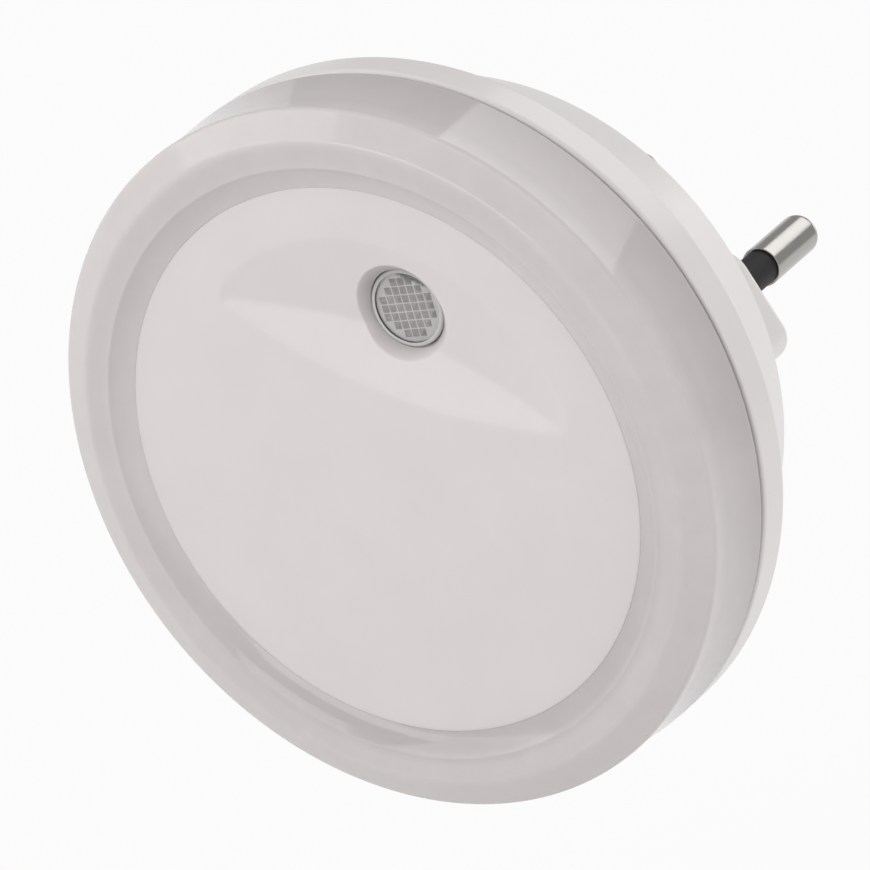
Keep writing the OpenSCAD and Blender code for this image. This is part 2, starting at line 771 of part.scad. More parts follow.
module discharge_resistor() {
    color("tan") upright() axial(drain_at, 0, drain_body);
}

module zener_diode() {
    color("orangered") upright() axial(zener_at, zener_turn, zener_body);
}

module control_transistor() {
    flat_y = fet_r * 0.6;
    color("black") upright() union() {
        translate([fet_at.x, fet_at.y, board_z - fet_stand - fet_h]) difference() {
            cylinder(h = fet_h, r = fet_r, $fn = 48);
            translate([-fet_r, flat_y, -over]) cube([2 * fet_r, fet_r, fet_h + 2 * over]);
        }
        board_leads(fet_sites, board_z - fet_stand - 1);
    }
}

// The pin carrier: a block in the boss with two legs up to ears on the dish's floor
module pin_carrier() {
    color("ivory") upright() difference() {
        union() {
            difference() {
                translate([0, 0, carrier_z]) linear_extrude(ear_z + ear_t - carrier_z)
                    boss_outline(boss_wall + ease);
                translate([-leg_x, -boss_h, block_z]) cube([2 * leg_x, 2 * boss_h, ear_z + ear_t]);
            }
            for (side = [-1, 1]) {
                translate([side > 0 ? leg_x : -ear_x, -ear_half_w, ear_z])
                    cube([ear_x - leg_x, 2 * ear_half_w, ear_t]);
                translate([side * ear_x, 0, ear_z]) cylinder(h = ear_t, r = ear_half_w);
            }
        }
        around([0, 180], ear_x) translate([0, 0, ear_z - over])
            cylinder(h = ear_t + 2 * over, r = screw_d / 2 + ease, $fn = 32);
        for (side = [-1, 1]) on_pin(side) {
            translate([0, 0, -block_z - over]) cylinder(h = block_z, r = pin_core_d / 2 + slip);
            translate([0, 0, collar_start]) cylinder(h = boss_end_t + collar_t, r = collar_d / 2 + slip);
            translate([0, 0, anchor_start - 2 * anchor_t])
                cylinder(h = 2 * anchor_t, r = anchor_d / 2 + slip);
        }
        translate([0, 0, block_z - carrier_t / 2]) linear_extrude(carrier_t) square(carrier_well, center = true);
    }
}

module carrier_screws() {
    color("silver") upright() around([0, 180], ear_x)
        translate([0, 0, ear_z + ear_t]) screw(carrier_screw_len);
}

// Section of a pin along its axis: solder tail, anchor flange, core and contact end
module pin_outline() {
    tip_r = pin_d / 2;
    difference() {
        union() {
            translate([0, tail_end]) square([tail_d / 2, tail_len + anchor_t]);
            translate([0, anchor_start - anchor_t]) square([anchor_d / 2, anchor_t]);
            translate([0, anchor_start - over]) square([pin_core_d / 2, bare_start - anchor_start + 2 * over]);
            translate([0, bare_start]) square([tip_r, pin_bare - pin_tip_round]);
            translate([0, pin_len - 2 * pin_tip_round]) square([tip_r - pin_tip_round, 2 * pin_tip_round]);
            translate([tip_r - pin_tip_round, pin_len - pin_tip_round]) circle(r = pin_tip_round, $fn = 64);
        }
        translate([pin_core_d / 2, bare_start - over])
            square([sleeve_d / 2 + slip - pin_core_d / 2, pin_lip + over]);
        translate([0, tail_end - over]) square([cup_d / 2, cup_depth + over]);
        translate([-pin_d, tail_end - over]) square([pin_d, pin_len - tail_end + 2 * over]);
    }
}

module plug_pin(side) {
    color("silver") upright() on_pin(side) rotate_extrude($fn = 64) pin_outline();
}

module plug_pin_left() {
    plug_pin(-1);
}

module plug_pin_right() {
    plug_pin(1);
}

module pin_sleeve(side) {
    color("black") upright() on_pin(side) difference() {
        union() {
            translate([0, 0, collar_start]) cylinder(h = bare_start + pin_lip - collar_start - slip, d = sleeve_d);
            translate([0, 0, collar_start]) cylinder(h = collar_t, d = collar_d);
        }
        translate([0, 0, collar_start - over]) cylinder(h = pin_len, r = pin_core_d / 2 + slip);
    }
}

module pin_sleeve_left() {
    pin_sleeve(-1);
}

module pin_sleeve_right() {
    pin_sleeve(1);
}

// Insulated lead from a pin's solder cup to the board, in line with the pin
module lead(side) {
    board_along = (board_z - ease) / cos(pin_tilt);
    front_along = (board_top_z + lead_over) / cos(pin_tilt);
    color(side < 0 ? "saddlebrown" : "steelblue") upright() on_pin(side) {
        translate([0, 0, -board_along]) cylinder(h = board_along + tail_end - slip, d = wire_d, $fn = 48);
        translate([0, 0, -front_along]) cylinder(h = front_along - board_along + 1, d = lead_d, $fn = 24);
        translate([0, 0, tail_end - 1]) cylinder(h = 1 + strip_len, d = cup_d - 2 * slip, $fn = 32);
    }
}

module lead_left() {
    lead(-1);
}

module lead_right() {
    lead(1);
}

rear_housing();
front_cover();
light_ring();
sensor_lens();
sensor_shroud();
photocell();
photocell_leads();
reflector();
circuit_board();
board_screws();
leds();
chip_resistors();
dropper_capacitor();
smoothing_capacitor();
bridge_rectifier();
fusible_resistor();
discharge_resistor();
zener_diode();
control_transistor();
pin_carrier();
carrier_screws();
plug_pin_left();
plug_pin_right();
pin_sleeve_left();
pin_sleeve_right();
lead_left();
lead_right();
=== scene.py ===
"""Plug-in night light: fine outer meshes, finishes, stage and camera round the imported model."""
import math

import bmesh
import bpy
from bpy.props import FloatProperty, FloatVectorProperty, PointerProperty
from mathutils import Matrix, Vector


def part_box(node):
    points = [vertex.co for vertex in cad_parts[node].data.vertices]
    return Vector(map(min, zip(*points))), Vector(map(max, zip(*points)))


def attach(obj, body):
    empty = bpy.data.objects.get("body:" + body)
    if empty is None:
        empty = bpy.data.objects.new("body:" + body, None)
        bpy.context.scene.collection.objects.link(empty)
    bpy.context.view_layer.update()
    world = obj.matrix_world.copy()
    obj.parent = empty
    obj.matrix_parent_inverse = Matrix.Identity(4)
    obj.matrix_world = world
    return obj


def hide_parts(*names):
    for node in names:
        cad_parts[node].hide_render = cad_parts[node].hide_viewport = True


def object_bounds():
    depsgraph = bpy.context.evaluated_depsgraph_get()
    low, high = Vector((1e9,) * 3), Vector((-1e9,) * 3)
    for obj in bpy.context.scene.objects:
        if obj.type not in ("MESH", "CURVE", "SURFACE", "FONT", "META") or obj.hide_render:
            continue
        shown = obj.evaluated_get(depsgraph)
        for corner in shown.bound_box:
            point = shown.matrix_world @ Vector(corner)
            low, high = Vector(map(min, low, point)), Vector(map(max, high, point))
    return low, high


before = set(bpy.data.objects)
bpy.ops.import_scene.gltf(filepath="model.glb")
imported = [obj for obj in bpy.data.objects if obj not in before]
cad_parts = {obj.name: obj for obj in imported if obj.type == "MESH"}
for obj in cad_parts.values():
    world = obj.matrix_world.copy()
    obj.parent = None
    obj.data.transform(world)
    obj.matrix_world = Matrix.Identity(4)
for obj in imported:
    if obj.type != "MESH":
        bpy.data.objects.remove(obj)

CAD_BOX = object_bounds()

bl_info = {
    "name": "Plug-in night light",
    "version": (1, 0, 0),
    "blender": (4, 5, 0),
    "location": "View3D > Sidebar > Night light",
    "description": "Builds the night light's outer pieces, finishes and studio",
    "category": "Add Mesh",
}

MM = 0.001
AROUND = 256
HAIR = 0.01  # keeps the inner points of a turned outline just off its axis
CORNER_SHARE = 0.48  # of an outline's side, the most that one rounding takes
BODY = "root"


def node_heights(node):
    """A node's lowest and highest place over the socket face, in mm."""
    low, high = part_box(node)
    return -high.y / MM, -low.y / MM


def node_radius(node):
    """A node's reach to the right of the middle, in mm."""
    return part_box(node)[1].x / MM


RIM_R = node_radius("rear_housing")
SEAM_Z = node_heights("rear_housing")[1]
LEDGE_Z, CREST_Z = node_heights("light_ring")
COVER_R = node_radius("front_cover")
DOME_Z = node_heights("front_cover")[1]
REFLECTOR_Z = node_heights("reflector")[1]
LENS_BACK_Z, LENS_FRONT_Z = node_heights("sensor_lens")
LENS_FLANGE_R = node_radius("sensor_lens")
SENSOR_X = -0.4
SENSOR_DROP = 0.5
SENSOR_Y = (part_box("sensor_lens")[0].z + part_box("sensor_lens")[1].z) / 2 / MM - SENSOR_DROP


# ---------------------------------------------------------------- outlines and skins

def front(x, y, h):
    """A point of the front view, with its height over the socket face, as a place in the frame."""
    return Vector((x, -h, y)) * MM


def bow(p, q, rise, steps=10):
    """Points from p to q along an arc that bulges to the left of the way by the given rise."""
    p = Vector(p)
    q = Vector(q)
    chord = q - p
    left = Vector((-chord.y, chord.x)).normalized()
    points = []
    for i in range(steps):
        t = i / steps
        points.append(p + chord * t + left * rise * 4 * t * (1 - t))
    return [tuple(point) for point in points]


def rounded(corners, closed=True, steps=6, support=0.05):
    """An outline with each corner (x, y, radius) rounded, and a point just outside each rounding."""
    count = len(corners)
    outline = []
    for i, corner in enumerate(corners):
        here = Vector(corner[:2])
        radius = corner[2] if len(corner) > 2 else 0.0
        if radius == 0.0 or (not closed and i in (0, count - 1)):
            outline.append(here)
            continue
        back = Vector(corners[i - 1][:2]) - here
        ahead = Vector(corners[(i + 1) % count][:2]) - here
        reach = min(back.length, ahead.length) * CORNER_SHARE
        back.normalize()
        ahead.normalize()
        half = back.angle(ahead) / 2
        trim = min(radius / math.tan(half), reach)
        radius = trim * math.tan(half)
        centre = here + (back + ahead).normalized() * radius / math.sin(half)
        start = here + back * trim - centre
        end = here + ahead * trim - centre
        turn = start.angle_signed(end)
        outline.append(here + back * (trim + support))
        for step in range(steps + 1):
            outline.append(centre + Matrix.Rotation(-turn * step / steps, 2) @ start)
        outline.append(here + ahead * (trim + support))
    return [(point[0], point[1]) for point in outline]


def skin(rows, wrap_rows=True):
    """Quads between rows of as many points, each row a closed loop."""
    width = len(rows[0])
    verts = [point for row in rows for point in row]
    faces = []
    last = len(rows) if wrap_rows else len(rows) - 1
    for i in range(last):
        a = i * width
        b = (i + 1) % len(rows) * width
        for j in range(width):
            k = (j + 1) % width
            faces.append((a + j, a + k, b + k, b + j))
    return verts, faces


def loop_of(radius, height, segments=AROUND, middle=(0.0, 0.0)):
    """A circle of the front view as a row of points."""
    turn = 2 * math.pi / segments
    return [
        front(middle[0] + radius * math.cos(turn * j), middle[1] + radius * math.sin(turn * j), height)
        for j in range(segments)
    ]


def finish_mesh(name, mesh_data, material, sharp=35.0):
    """A new object at the origin from a bmesh or from points and faces, smooth but for sharp edges."""
    mesh = bpy.data.meshes.new(name)
    if isinstance(mesh_data, bmesh.types.BMesh):
        shape = mesh_data
    else:
        shape = bmesh.new()
        verts = [shape.verts.new(point) for point in mesh_data[0]]
        for face in mesh_data[1]:
            shape.faces.new([verts[i] for i in face])
    bmesh.ops.remove_doubles(shape, verts=shape.verts, dist=1e-7)
    bmesh.ops.recalc_face_normals(shape, faces=shape.faces)
    shape.to_mesh(mesh)
    shape.free()
    mesh.shade_smooth()
    mesh.set_sharp_from_angle(angle=math.radians(sharp))
    piece = bpy.data.objects.new(name, mesh)
    bpy.context.scene.collection.objects.link(piece)
    mesh.materials.append(material)
    return piece


def lathe(outline, segments=AROUND, to_frame=None):
    """A closed outline of (radius, height) turned round the middle, or round another axis."""
    rows = []
    for radius, height in outline:
        if to_frame is None:
            rows.append(loop_of(radius, height, segments))
        else:
            turn = 2 * math.pi / segments
            rows.append([
                to_frame @ (Vector((radius * math.cos(turn * j), radius * math.sin(turn * j), height)) * MM)
                for j in range(segments)
            ])
    return skin(rows)


def stand_for(piece, node):
    """Hands a finished piece to the frame in place of a CAD node."""
    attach(piece, BODY)
    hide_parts(node)


# ---------------------------------------------------------------- nodes

class Wire:
    """A node's socket that takes part in Python arithmetic through Math nodes."""

    def __init__(self, graph, socket):
        self.graph = graph
        self.socket = socket

    def maths(self, operation, *others):
        values = {i: other for i, other in enumerate((self,) + others)}
        return self.graph.add("ShaderNodeMath", {"operation": operation}, values)

    def __add__(self, other):
        return self.maths("ADD", other)

    __radd__ = __add__

    def __mul__(self, other):
        return self.maths("MULTIPLY", other)

    __rmul__ = __mul__

    def __sub__(self, other):
        return self.maths("SUBTRACT", other)

    def __rsub__(self, other):
        return (self * -1) + other


class Graph:
    """A node tree that is built node by node, for a material, the world or a geometry."""

    def __init__(self, tree):
        self.tree = tree

    def add(self, kind, settings=None, values=None, out=0):
        """Any node: its settings first, then the values or links of its sockets; gives one output."""
        node = self.tree.nodes.new(kind)
        for key, value in (settings or {}).items():
            setattr(node, key, value)
        for key, value in (values or {}).items():
            self.feed(node.inputs[key], value)
        return Wire(self, node.outputs[out]) if node.outputs else None

    def feed(self, socket, value):
        """Links a wire to a socket, or a list of wires to one that joins them, or sets its value."""
        if isinstance(value, Wire):
            self.tree.links.new(value.socket, socket)
        elif isinstance(value, list):
            for wire in value:
                self.feed(socket, wire)
        elif isinstance(value, tuple) and len(value) == 3 and socket.type == "RGBA":
            socket.default_value = (*value, 1.0)
        else:
            socket.default_value = value

    def ray(self, kind):
        """1 for rays of one kind, such as Camera or Glossy, and 0 for all others."""
        return self.add("ShaderNodeLightPath", out=f"Is {kind} Ray")


class Finish(Graph):
    """One procedural material, built round a Principled shader."""

    def __init__(self, name):
        self.material = bpy.data.materials.new(name)
        self.material.use_nodes = True
        super().__init__(self.material.node_tree)
        self.shader = self.tree.nodes["Principled BSDF"]
        self.place = self.add("ShaderNodeTexCoord", out="Object")

    def surface(self, **values):
        """Values or wires for the Principled shader's sockets, with _ for a space in a name."""
        for key, value in values.items():
            self.feed(self.shader.inputs[key.replace("_", " ")], value)

    def noise(self, size_mm, detail=2.0, roughness=0.5, stretch=(1.0, 1.0, 1.0)):
        """Noise from 0 to 1 with features of about the given size."""
        scaled = self.add("ShaderNodeMapping", {"vector_type": "POINT"}, {
            "Vector": self.place,
            "Scale": tuple(1.0 / (size_mm * MM) * s for s in stretch),
        })
        return self.add("ShaderNodeTexNoise", None, {
            "Vector": scaled, "Scale": 1.0, "Detail": detail, "Roughness": roughness,
        })

    def spread(self, wire, low, high, to_low, to_high):
        """Maps a stretch of a wire's values on to another, clamped."""
        return self.add("ShaderNodeMapRange", {"clamp": True}, {
            "Value": wire, "From Min": low, "From Max": high, "To Min": to_low, "To Max": to_high,
        })

    def mixed(self, factor, first, second):
        """Mix of two colours, by the colour sockets of the Mix node."""
        return self.add("ShaderNodeMix", {"data_type": "RGBA"}, {0: factor, 6: first, 7: second}, out=2)

    def depth(self):
        """Place along the frame's Y axis, from the lit face to the wall."""
        return self.add("ShaderNodeSeparateXYZ", None, {"Vector": self.place}, out="Y")

    def up(self):
        """Place along the frame's Z axis."""
        return self.add("ShaderNodeSeparateXYZ", None, {"Vector": self.place}, out="Z")

    def off_axis(self, middle=(0.0, 0.0)):
        """Distance from the light's own axis, or from a line beside it, in the front view."""
        off = self.add("ShaderNodeVectorMath", {"operation": "SUBTRACT"}, {
            0: self.place, 1: tuple(front(*middle, 0.0)),
        })
        flat = self.add("ShaderNodeVectorMath", {"operation": "MULTIPLY"}, {0: off, 1: (1.0, 0.0, 1.0)})
        return self.add("ShaderNodeVectorMath", {"operation": "LENGTH"}, {0: flat}, out="Value")

    def bump(self, height, depth_mm, strength=1.0):
        """Normal from a height between 0 and 1 that stands for the given depth."""
        return self.add("ShaderNodeBump", None, {
            "Height": height, "Distance": depth_mm * MM, "Strength": strength,
        })

    def lay_over(self, factor, other):
        """Shows another shader in place of the Principled one, by a factor."""
        own = Wire(self, self.shader.outputs[0])
        mix = self.add("ShaderNodeMixShader", None, {0: factor, 1: own, 2: other})
        self.feed(self.tree.nodes["Material Output"].inputs["Surface"], mix)


def shade(colour, factor):
    """A colour made darker or lighter."""
    return tuple(min(1.0, max(0.0, channel * factor)) for channel in colour)


# Painted shade: grey laid on the cover round the sensor window, for the dark hollow behind its thin edge.
WINDOW_SHADE_GREY = (0.30, 0.29, 0.285)
# Painted shade on the light ring: the grey it darkens towards, and how far at the side wall, the seam, the
# cove and the brow.
RING_SHADE_GREY = (0.13, 0.11, 0.115)
WALL_SHADE = 0.11
SEAM_SHADE = 0.15
COVE_SHADE = 0.28
BROW_SHADE = 0.06
# Way in which the painted shade in the ring's cove deepens: low and to the right.
LOW_RIGHT = (0.71, 0.0, -0.71)
WEAVE_SCALE = 400.0


def moulded_plastic(name, colour, roughness, grain_mm=0.35, depth_mm=0.004, coat=0.15, soft=0.0, window_shade=None):
    """Injection-moulded plastic: flow mottle, fine grain, changes of gloss, and if asked painted shade that
    greys its thin edge round a window.
    """
    finish = Finish(name)
    mottle = finish.noise(9.0, 3.0, 0.55)
    grain = finish.noise(grain_mm, 2.0, 0.6)
    tint = finish.spread(mottle, 0.3, 0.7, 0.0, 1.0)
    body = finish.mixed(tint, shade(colour, 0.985), shade(colour, 1.012))
    # Painted shade: greyer towards the window, standing in for the dark hollow seen through the thin edge.
    if window_shade:
        middle, inner_r, outer_r = window_shade
        grey = finish.spread(finish.off_axis(middle), inner_r * MM, outer_r * MM, 0.5, 0.0)
        body = finish.mixed(grey, body, WINDOW_SHADE_GREY)
    finish.surface(
        Base_Color=body,
        Roughness=finish.spread(grain * 0.6 + mottle * 0.4, 0.3, 0.7, roughness - 0.03, roughness + 0.04),
        Normal=finish.bump(grain, depth_mm),
        Coat_Weight=coat,
        Coat_Roughness=0.12,
        Subsurface_Weight=soft,
        Subsurface_Radius=(0.0016, 0.0015, 0.0014),
        Subsurface_Scale=1.0,
        IOR=1.5,
    )
    return finish.material


def milky_plastic(name, colour):
    """Polished translucent plastic with painted shade: darker over its hollows, towards the seam, at the brow
    and low in the cove.
    """
    finish = Finish(name)
    waves = finish.noise(7.0, 2.0, 0.5)
    haze = finish.noise(2.2, 3.0, 0.6)
    tint = finish.spread(haze * 0.5 + waves * 0.5, 0.35, 0.65, 0.0, 1.0)
    body = finish.mixed(tint, shade(colour, 0.975), shade(colour, 1.02))
    # Painted shade: darker back along the side wall and towards the seam, at the brow inside the crest, and
    # low and to the right in the cove.
    depth = finish.depth()
    wall = finish.spread(depth, -(RIM_Z - 0.6) * MM, -(RIM_Z - 2.2) * MM, 0.0, WALL_SHADE)
    seam = finish.spread(depth, -(RIM_Z - 3.0) * MM, -SEAM_Z * MM, 0.0, SEAM_SHADE)
    out = finish.off_axis()
    in_crest = finish.spread(out, (CREST[0] - 0.5) * MM, (CREST[0] + 0.2) * MM, 1.0, 0.0)
    in_cove = finish.spread(out, (BROW[0] - 0.6) * MM, (BROW[0] + 0.8) * MM, 1.0, 0.0)
    low_right = finish.add("ShaderNodeVectorMath", {"operation": "DOT_PRODUCT"}, {
        0: finish.place, 1: LOW_RIGHT,
    }, out="Value")
    cove = in_cove * finish.spread(low_right, -0.3 * COVER_R * MM, 0.9 * COVER_R * MM, 0.0, COVE_SHADE)
    brow = (in_crest - in_cove) * BROW_SHADE
    finish.surface(
        Base_Color=finish.mixed(wall + seam + cove + brow, body, RING_SHADE_GREY),
        Roughness=finish.spread(haze, 0.3, 0.7, 0.05, 0.09),
        Normal=finish.bump(waves, 0.008),
        Subsurface_Weight=0.25,
        Subsurface_Radius=(0.0006, 0.0006, 0.0006),
        Subsurface_Scale=1.0,
        IOR=1.47,
    )
    return finish.material


def plated_metal(name, colour):
    """Polished plate with fine lengthwise draw lines and soft smears."""
    finish = Finish(name)
    draw = finish.noise(0.12, 3.0, 0.6, (1.0, 0.04, 1.0))
    smear = finish.noise(1.8, 3.0, 0.6)
    finish.surface(
        Base_Color=finish.mixed(smear, shade(colour, 0.93), shade(colour, 1.04)),
        Roughness=finish.spread(draw * 0.5 + smear * 0.5, 0.3, 0.7, 0.13, 0.24),
        Normal=finish.bump(draw, 0.0012),
        Metallic=1.0,
    )
    return finish.material


def rubbery_plastic(name, colour, roughness=0.42):
    """Matt thermoplastic with a fine mould grain."""
    finish = Finish(name)
    grain = finish.noise(0.16, 3.0, 0.65)
    wear = finish.noise(2.4, 3.0, 0.6)
    finish.surface(
        Base_Color=finish.mixed(wear, shade(colour, 0.85), shade(colour, 1.25)),
        Roughness=finish.spread(grain, 0.3, 0.7, roughness - 0.05, roughness + 0.08),
        Normal=finish.bump(grain, 0.006),
    )
    return finish.material


def laminate(name, colour):
    """Board laminate: glass weave under a green lacquer."""
    finish = Finish(name)
    threads = {"Vector": finish.place, "Scale": WEAVE_SCALE}
    weave_x = finish.add("ShaderNodeTexWave", {"bands_direction": "X"}, threads)
    weave_z = finish.add("ShaderNodeTexWave", {"bands_direction": "Z"}, threads)
    weave = weave_x * 0.5 + weave_z * 0.5
    finish.surface(
        Base_Color=finish.mixed(weave, shade(colour, 0.85), shade(colour, 1.2)),
        Roughness=finish.spread(weave, 0.2, 0.8, 0.32, 0.42),
        Normal=finish.bump(weave, 0.004),
    )
    return finish.material


# ---------------------------------------------------------------- sizes and colours

class NightLightSizes(bpy.types.PropertyGroup):
    edge_round: FloatProperty(name="Edge rounding", description="Rounding of the moulded edges",
                              default=0.0004, unit="LENGTH")
    cover_edge: FloatProperty(name="Cover edge", description="Rounding of the cover's rim",
                              default=0.00005, unit="LENGTH")
    cover_wall: FloatProperty(name="Cover wall", description="Thickness of the cover",
                              default=0.0018, unit="LENGTH")
    waffle_pitch: FloatProperty(name="Waffle pitch", description="Pitch of the squares behind the lens",
                                default=0.0008, unit="LENGTH")
    waffle_turn: FloatProperty(name="Waffle turn", description="Turn of the waffle grid",
                               default=math.radians(27.0), subtype="ANGLE")
    floor_drop: FloatProperty(name="Floor drop", description="Distance of the floor under the light",
                              default=0.06, unit="LENGTH")


class NightLightColours(bpy.types.PropertyGroup):
    cover: FloatVectorProperty(name="Cover", description="Colour of the front cover",
                               default=(0.735, 0.695, 0.69), size=3, subtype="COLOR")
    ring: FloatVectorProperty(name="Ring", description="Colour of the light ring",
                              default=(0.655, 0.62, 0.612), size=3, subtype="COLOR")
    housing: FloatVectorProperty(name="Housing", description="Colour of the rear dish and plug boss",
                                 default=(0.765, 0.735, 0.727), size=3, subtype="COLOR")
    sleeve: FloatVectorProperty(name="Sleeve", description="Colour of the pins' insulating sleeves",
                                default=(0.011, 0.0105, 0.0105), size=3, subtype="COLOR")
    plate: FloatVectorProperty(name="Plate", description="Colour of the pins' plating",
                               default=(0.50, 0.485, 0.465), size=3, subtype="COLOR")


def sizes():
    return bpy.context.scene.night_light_sizes


def colours():
    return bpy.context.scene.night_light_colours


# ---------------------------------------------------------------- front cover

DOME_RISE = 0.4
RIM_Z = DOME_Z - DOME_RISE
SCOOP_TURN = math.radians(2.2)
SCOOP_UP_R = COVER_R - 4.7
SCOOP_LOW_Y = 7.5
SCOOP_LOW_R = 85.0
SCOOP_END_X = 17.9
SCOOP_UP_SLOPE = 0.16
SCOOP_LOW_SLOPE = 0.31
SCOOP_END_SLOPE = 0.3
SCOOP_UP_RISE = 0.13
SCOOP_LOW_RISE = 0.36
SCOOP_END_RISE = 0.2
SCOOP_BLEND = 0.1
SCOOP_LIP_BLEND = 0.05
WINDOW_R = 3.75
WINDOW_ROUND = 1.05
WINDOW_SINK = 0.95
WINDOW_DEEP = 1.2
# Inner and outer radius of the painted shade round the sensor window, in mm.
WINDOW_SHADE_SPAN = (WINDOW_R + 0.1, WINDOW_R + 0.95)
TOP_ROWS = 130
UNDER_ROWS = 40
EDGE_STEPS = 6
UNDER_R = COVER_R - 2.0


def soft_max(a, b, width):
    """The larger of two heights, blended where they are closer than the width."""
    t = max(0.0, min(1.0, 0.5 + (a - b) / (2 * width)))
    return b + (a - b) * t + width * t * (1 - t)


def cover_height(x, y):
    """Height of the cover's front, in mm: a dome with the two facets and blunt ends of the scoop cut in."""
    dome = RIM_Z + DOME_RISE * (1 - (x * x + y * y) / COVER_R ** 2)
    across = x * math.cos(SCOOP_TURN) + y * math.sin(SCOOP_TURN)
    up = y * math.cos(SCOOP_TURN) - x * math.sin(SCOOP_TURN)
    from_low = math.hypot(across, up - SCOOP_LOW_Y - SCOOP_LOW_R)
    upper = RIM_Z + SCOOP_UP_RISE - SCOOP_UP_SLOPE * (SCOOP_UP_R - math.hypot(x, y))
    lower = RIM_Z + SCOOP_LOW_RISE - SCOOP_LOW_SLOPE * (SCOOP_LOW_R - from_low)
    end = RIM_Z + SCOOP_END_RISE - SCOOP_END_SLOPE * (SCOOP_END_X - abs(across))
    bowl = soft_max(soft_max(upper, lower, SCOOP_BLEND), end, SCOOP_BLEND)
    return -soft_max(-dome, -bowl, SCOOP_LIP_BLEND)


def cover_row(middle_x, middle_y, radius, rise):
    """A circle of points on the cover's front, raised or lowered from it."""
    row = []
    turn = 2 * math.pi / AROUND
    for j in range(AROUND):
        x = middle_x + radius * math.cos(turn * j)
        y = middle_y + radius * math.sin(turn * j)
        row.append(front(x, y, cover_height(x, y) + rise))
    return row


def cover_rows(rise, inner_r, outer_r, count):
    """Rows of the cover from the window's circle out to the rim, by circles whose centres slide."""
    rows = []
    for i in range(count + 1):
        t = i / count
        radius = inner_r + (outer_r - inner_r) * t
        rows.append(cover_row(SENSOR_X * (1 - t), SENSOR_Y * (1 - t), radius, rise))
    return rows


class NIGHTLIGHT_OT_cover(bpy.types.Operator):
    """Front cover: domed disc with the scoop, a rounded rim and the sensor's rounded window"""
    bl_idname = "night_light.cover"
    bl_label = "Front cover"

    def execute(self, context):
        wall = sizes().cover_wall / MM
        edge = sizes().cover_edge / MM
        top = cover_rows(0.0, WINDOW_R + WINDOW_ROUND, COVER_R - edge, TOP_ROWS)
        rim = []
        for step in range(1, EDGE_STEPS + 1):
            a = math.pi / 2 * step / EDGE_STEPS
            rim.append(loop_of(COVER_R - edge + edge * math.sin(a), RIM_Z - edge * (1 - math.cos(a))))
        rim.append(loop_of(COVER_R, RIM_Z - wall))
        rim.append(loop_of(UNDER_R + 0.1, RIM_Z - wall))
        under = cover_rows(-wall, WINDOW_R, UNDER_R, UNDER_ROWS)
        under.reverse()
        bevel = rounded([
            (0.0, -WINDOW_DEEP), (0.0, -WINDOW_SINK, 0.3),
            (WINDOW_ROUND - 0.2, 0.0, 0.55), (WINDOW_ROUND, 0.0),
        ], closed=False, steps=8)
        window = [cover_row(SENSOR_X, SENSOR_Y, WINDOW_R + beyond, rise) for beyond, rise in bevel[1:-1]]
        rows = window + top + rim + under
        # The cover's finish has painted shade round the sensor window.
        material = moulded_plastic(
            "cover_plastic", tuple(colours().cover), 0.36, coat=0.1, soft=0.08,
            window_shade=((SENSOR_X, SENSOR_Y), *WINDOW_SHADE_SPAN),
        )
        piece = finish_mesh("cover_shell", skin(rows), material)
        stand_for(piece, "front_cover")
        return {"FINISHED"}


# ---------------------------------------------------------------- light ring

SHOULDER = (RIM_R - 0.4, RIM_Z + 0.1)
CREST = (RIM_R - 3.2, CREST_Z)
BROW = (RIM_R - 5.6, RIM_Z + 1.1)
COVE_Z = RIM_Z - 0.02
RING_Z = SEAM_Z + 0.35
POCKET_R = COVER_R + 0.005
SPIGOT_R = RIM_R - 2.05
SPIGOT_IN_R = SPIGOT_R - 1.5
SIDE_BOW = 0.13
COVE_BOW = 0.106
FOOT_ROUND = 0.4
SHOULDER_ROUND = 0.45
CREST_ROUND = 1.6
BROW_ROUND = 1.5
RING_WALL = 2.0
POCKET_WALL = 1.2
LEDGE_DROP = 1.8
LEDGE_REACH = 1.9


def ring_outline():
    """The ring's section: side wall, shoulder, crown, crest, brow, cove, ledge and the hollow behind."""
    side = bow((RIM_R, RING_Z), SHOULDER, SIDE_BOW)
    cove = bow(BROW, (POCKET_R, COVE_Z), COVE_BOW)
    outside = [(*side[0], FOOT_ROUND)] + side[1:]
    outside += [(*SHOULDER, SHOULDER_ROUND), (*CREST, CREST_ROUND), (*BROW, BROW_ROUND)]
    outside += cove[1:]
    inside = [
        (POCKET_R, COVE_Z), (POCKET_R, RIM_Z - LEDGE_DROP), (POCKET_R - LEDGE_REACH, RIM_Z - LEDGE_DROP, 0.1),
        (POCKET_R - LEDGE_REACH, REFLECTOR_Z, 0.1), (POCKET_R + POCKET_WALL, REFLECTOR_Z, 0.4),
        (BROW[0], BROW[1] - RING_WALL, 0.4), (CREST[0], CREST[1] - RING_WALL, 0.3),
        (SHOULDER[0] - RING_WALL, SHOULDER[1] - RING_WALL, 0.6), (SHOULDER[0] - RING_WALL, RING_Z + 1.0, 0.3),
        (SPIGOT_IN_R, RING_Z), (SPIGOT_IN_R, LEDGE_Z, 0.15), (SPIGOT_R, LEDGE_Z, 0.15), (SPIGOT_R, RING_Z),
    ]
    return rounded(outside + inside)


class NIGHTLIGHT_OT_ring(bpy.types.Operator):
    """Light ring: the milky ring with its crown, cove, hollow side wall and spigot"""
    bl_idname = "night_light.ring"
    bl_label = "Light ring"

    def execute(self, context):
        material = milky_plastic("milky_ring", tuple(colours().ring))
        piece = finish_mesh("ring_diffuser", lathe(ring_outline()), material)
        stand_for(piece, "light_ring")
        return {"FINISHED"}


# ---------------------------------------------------------------- rear housing

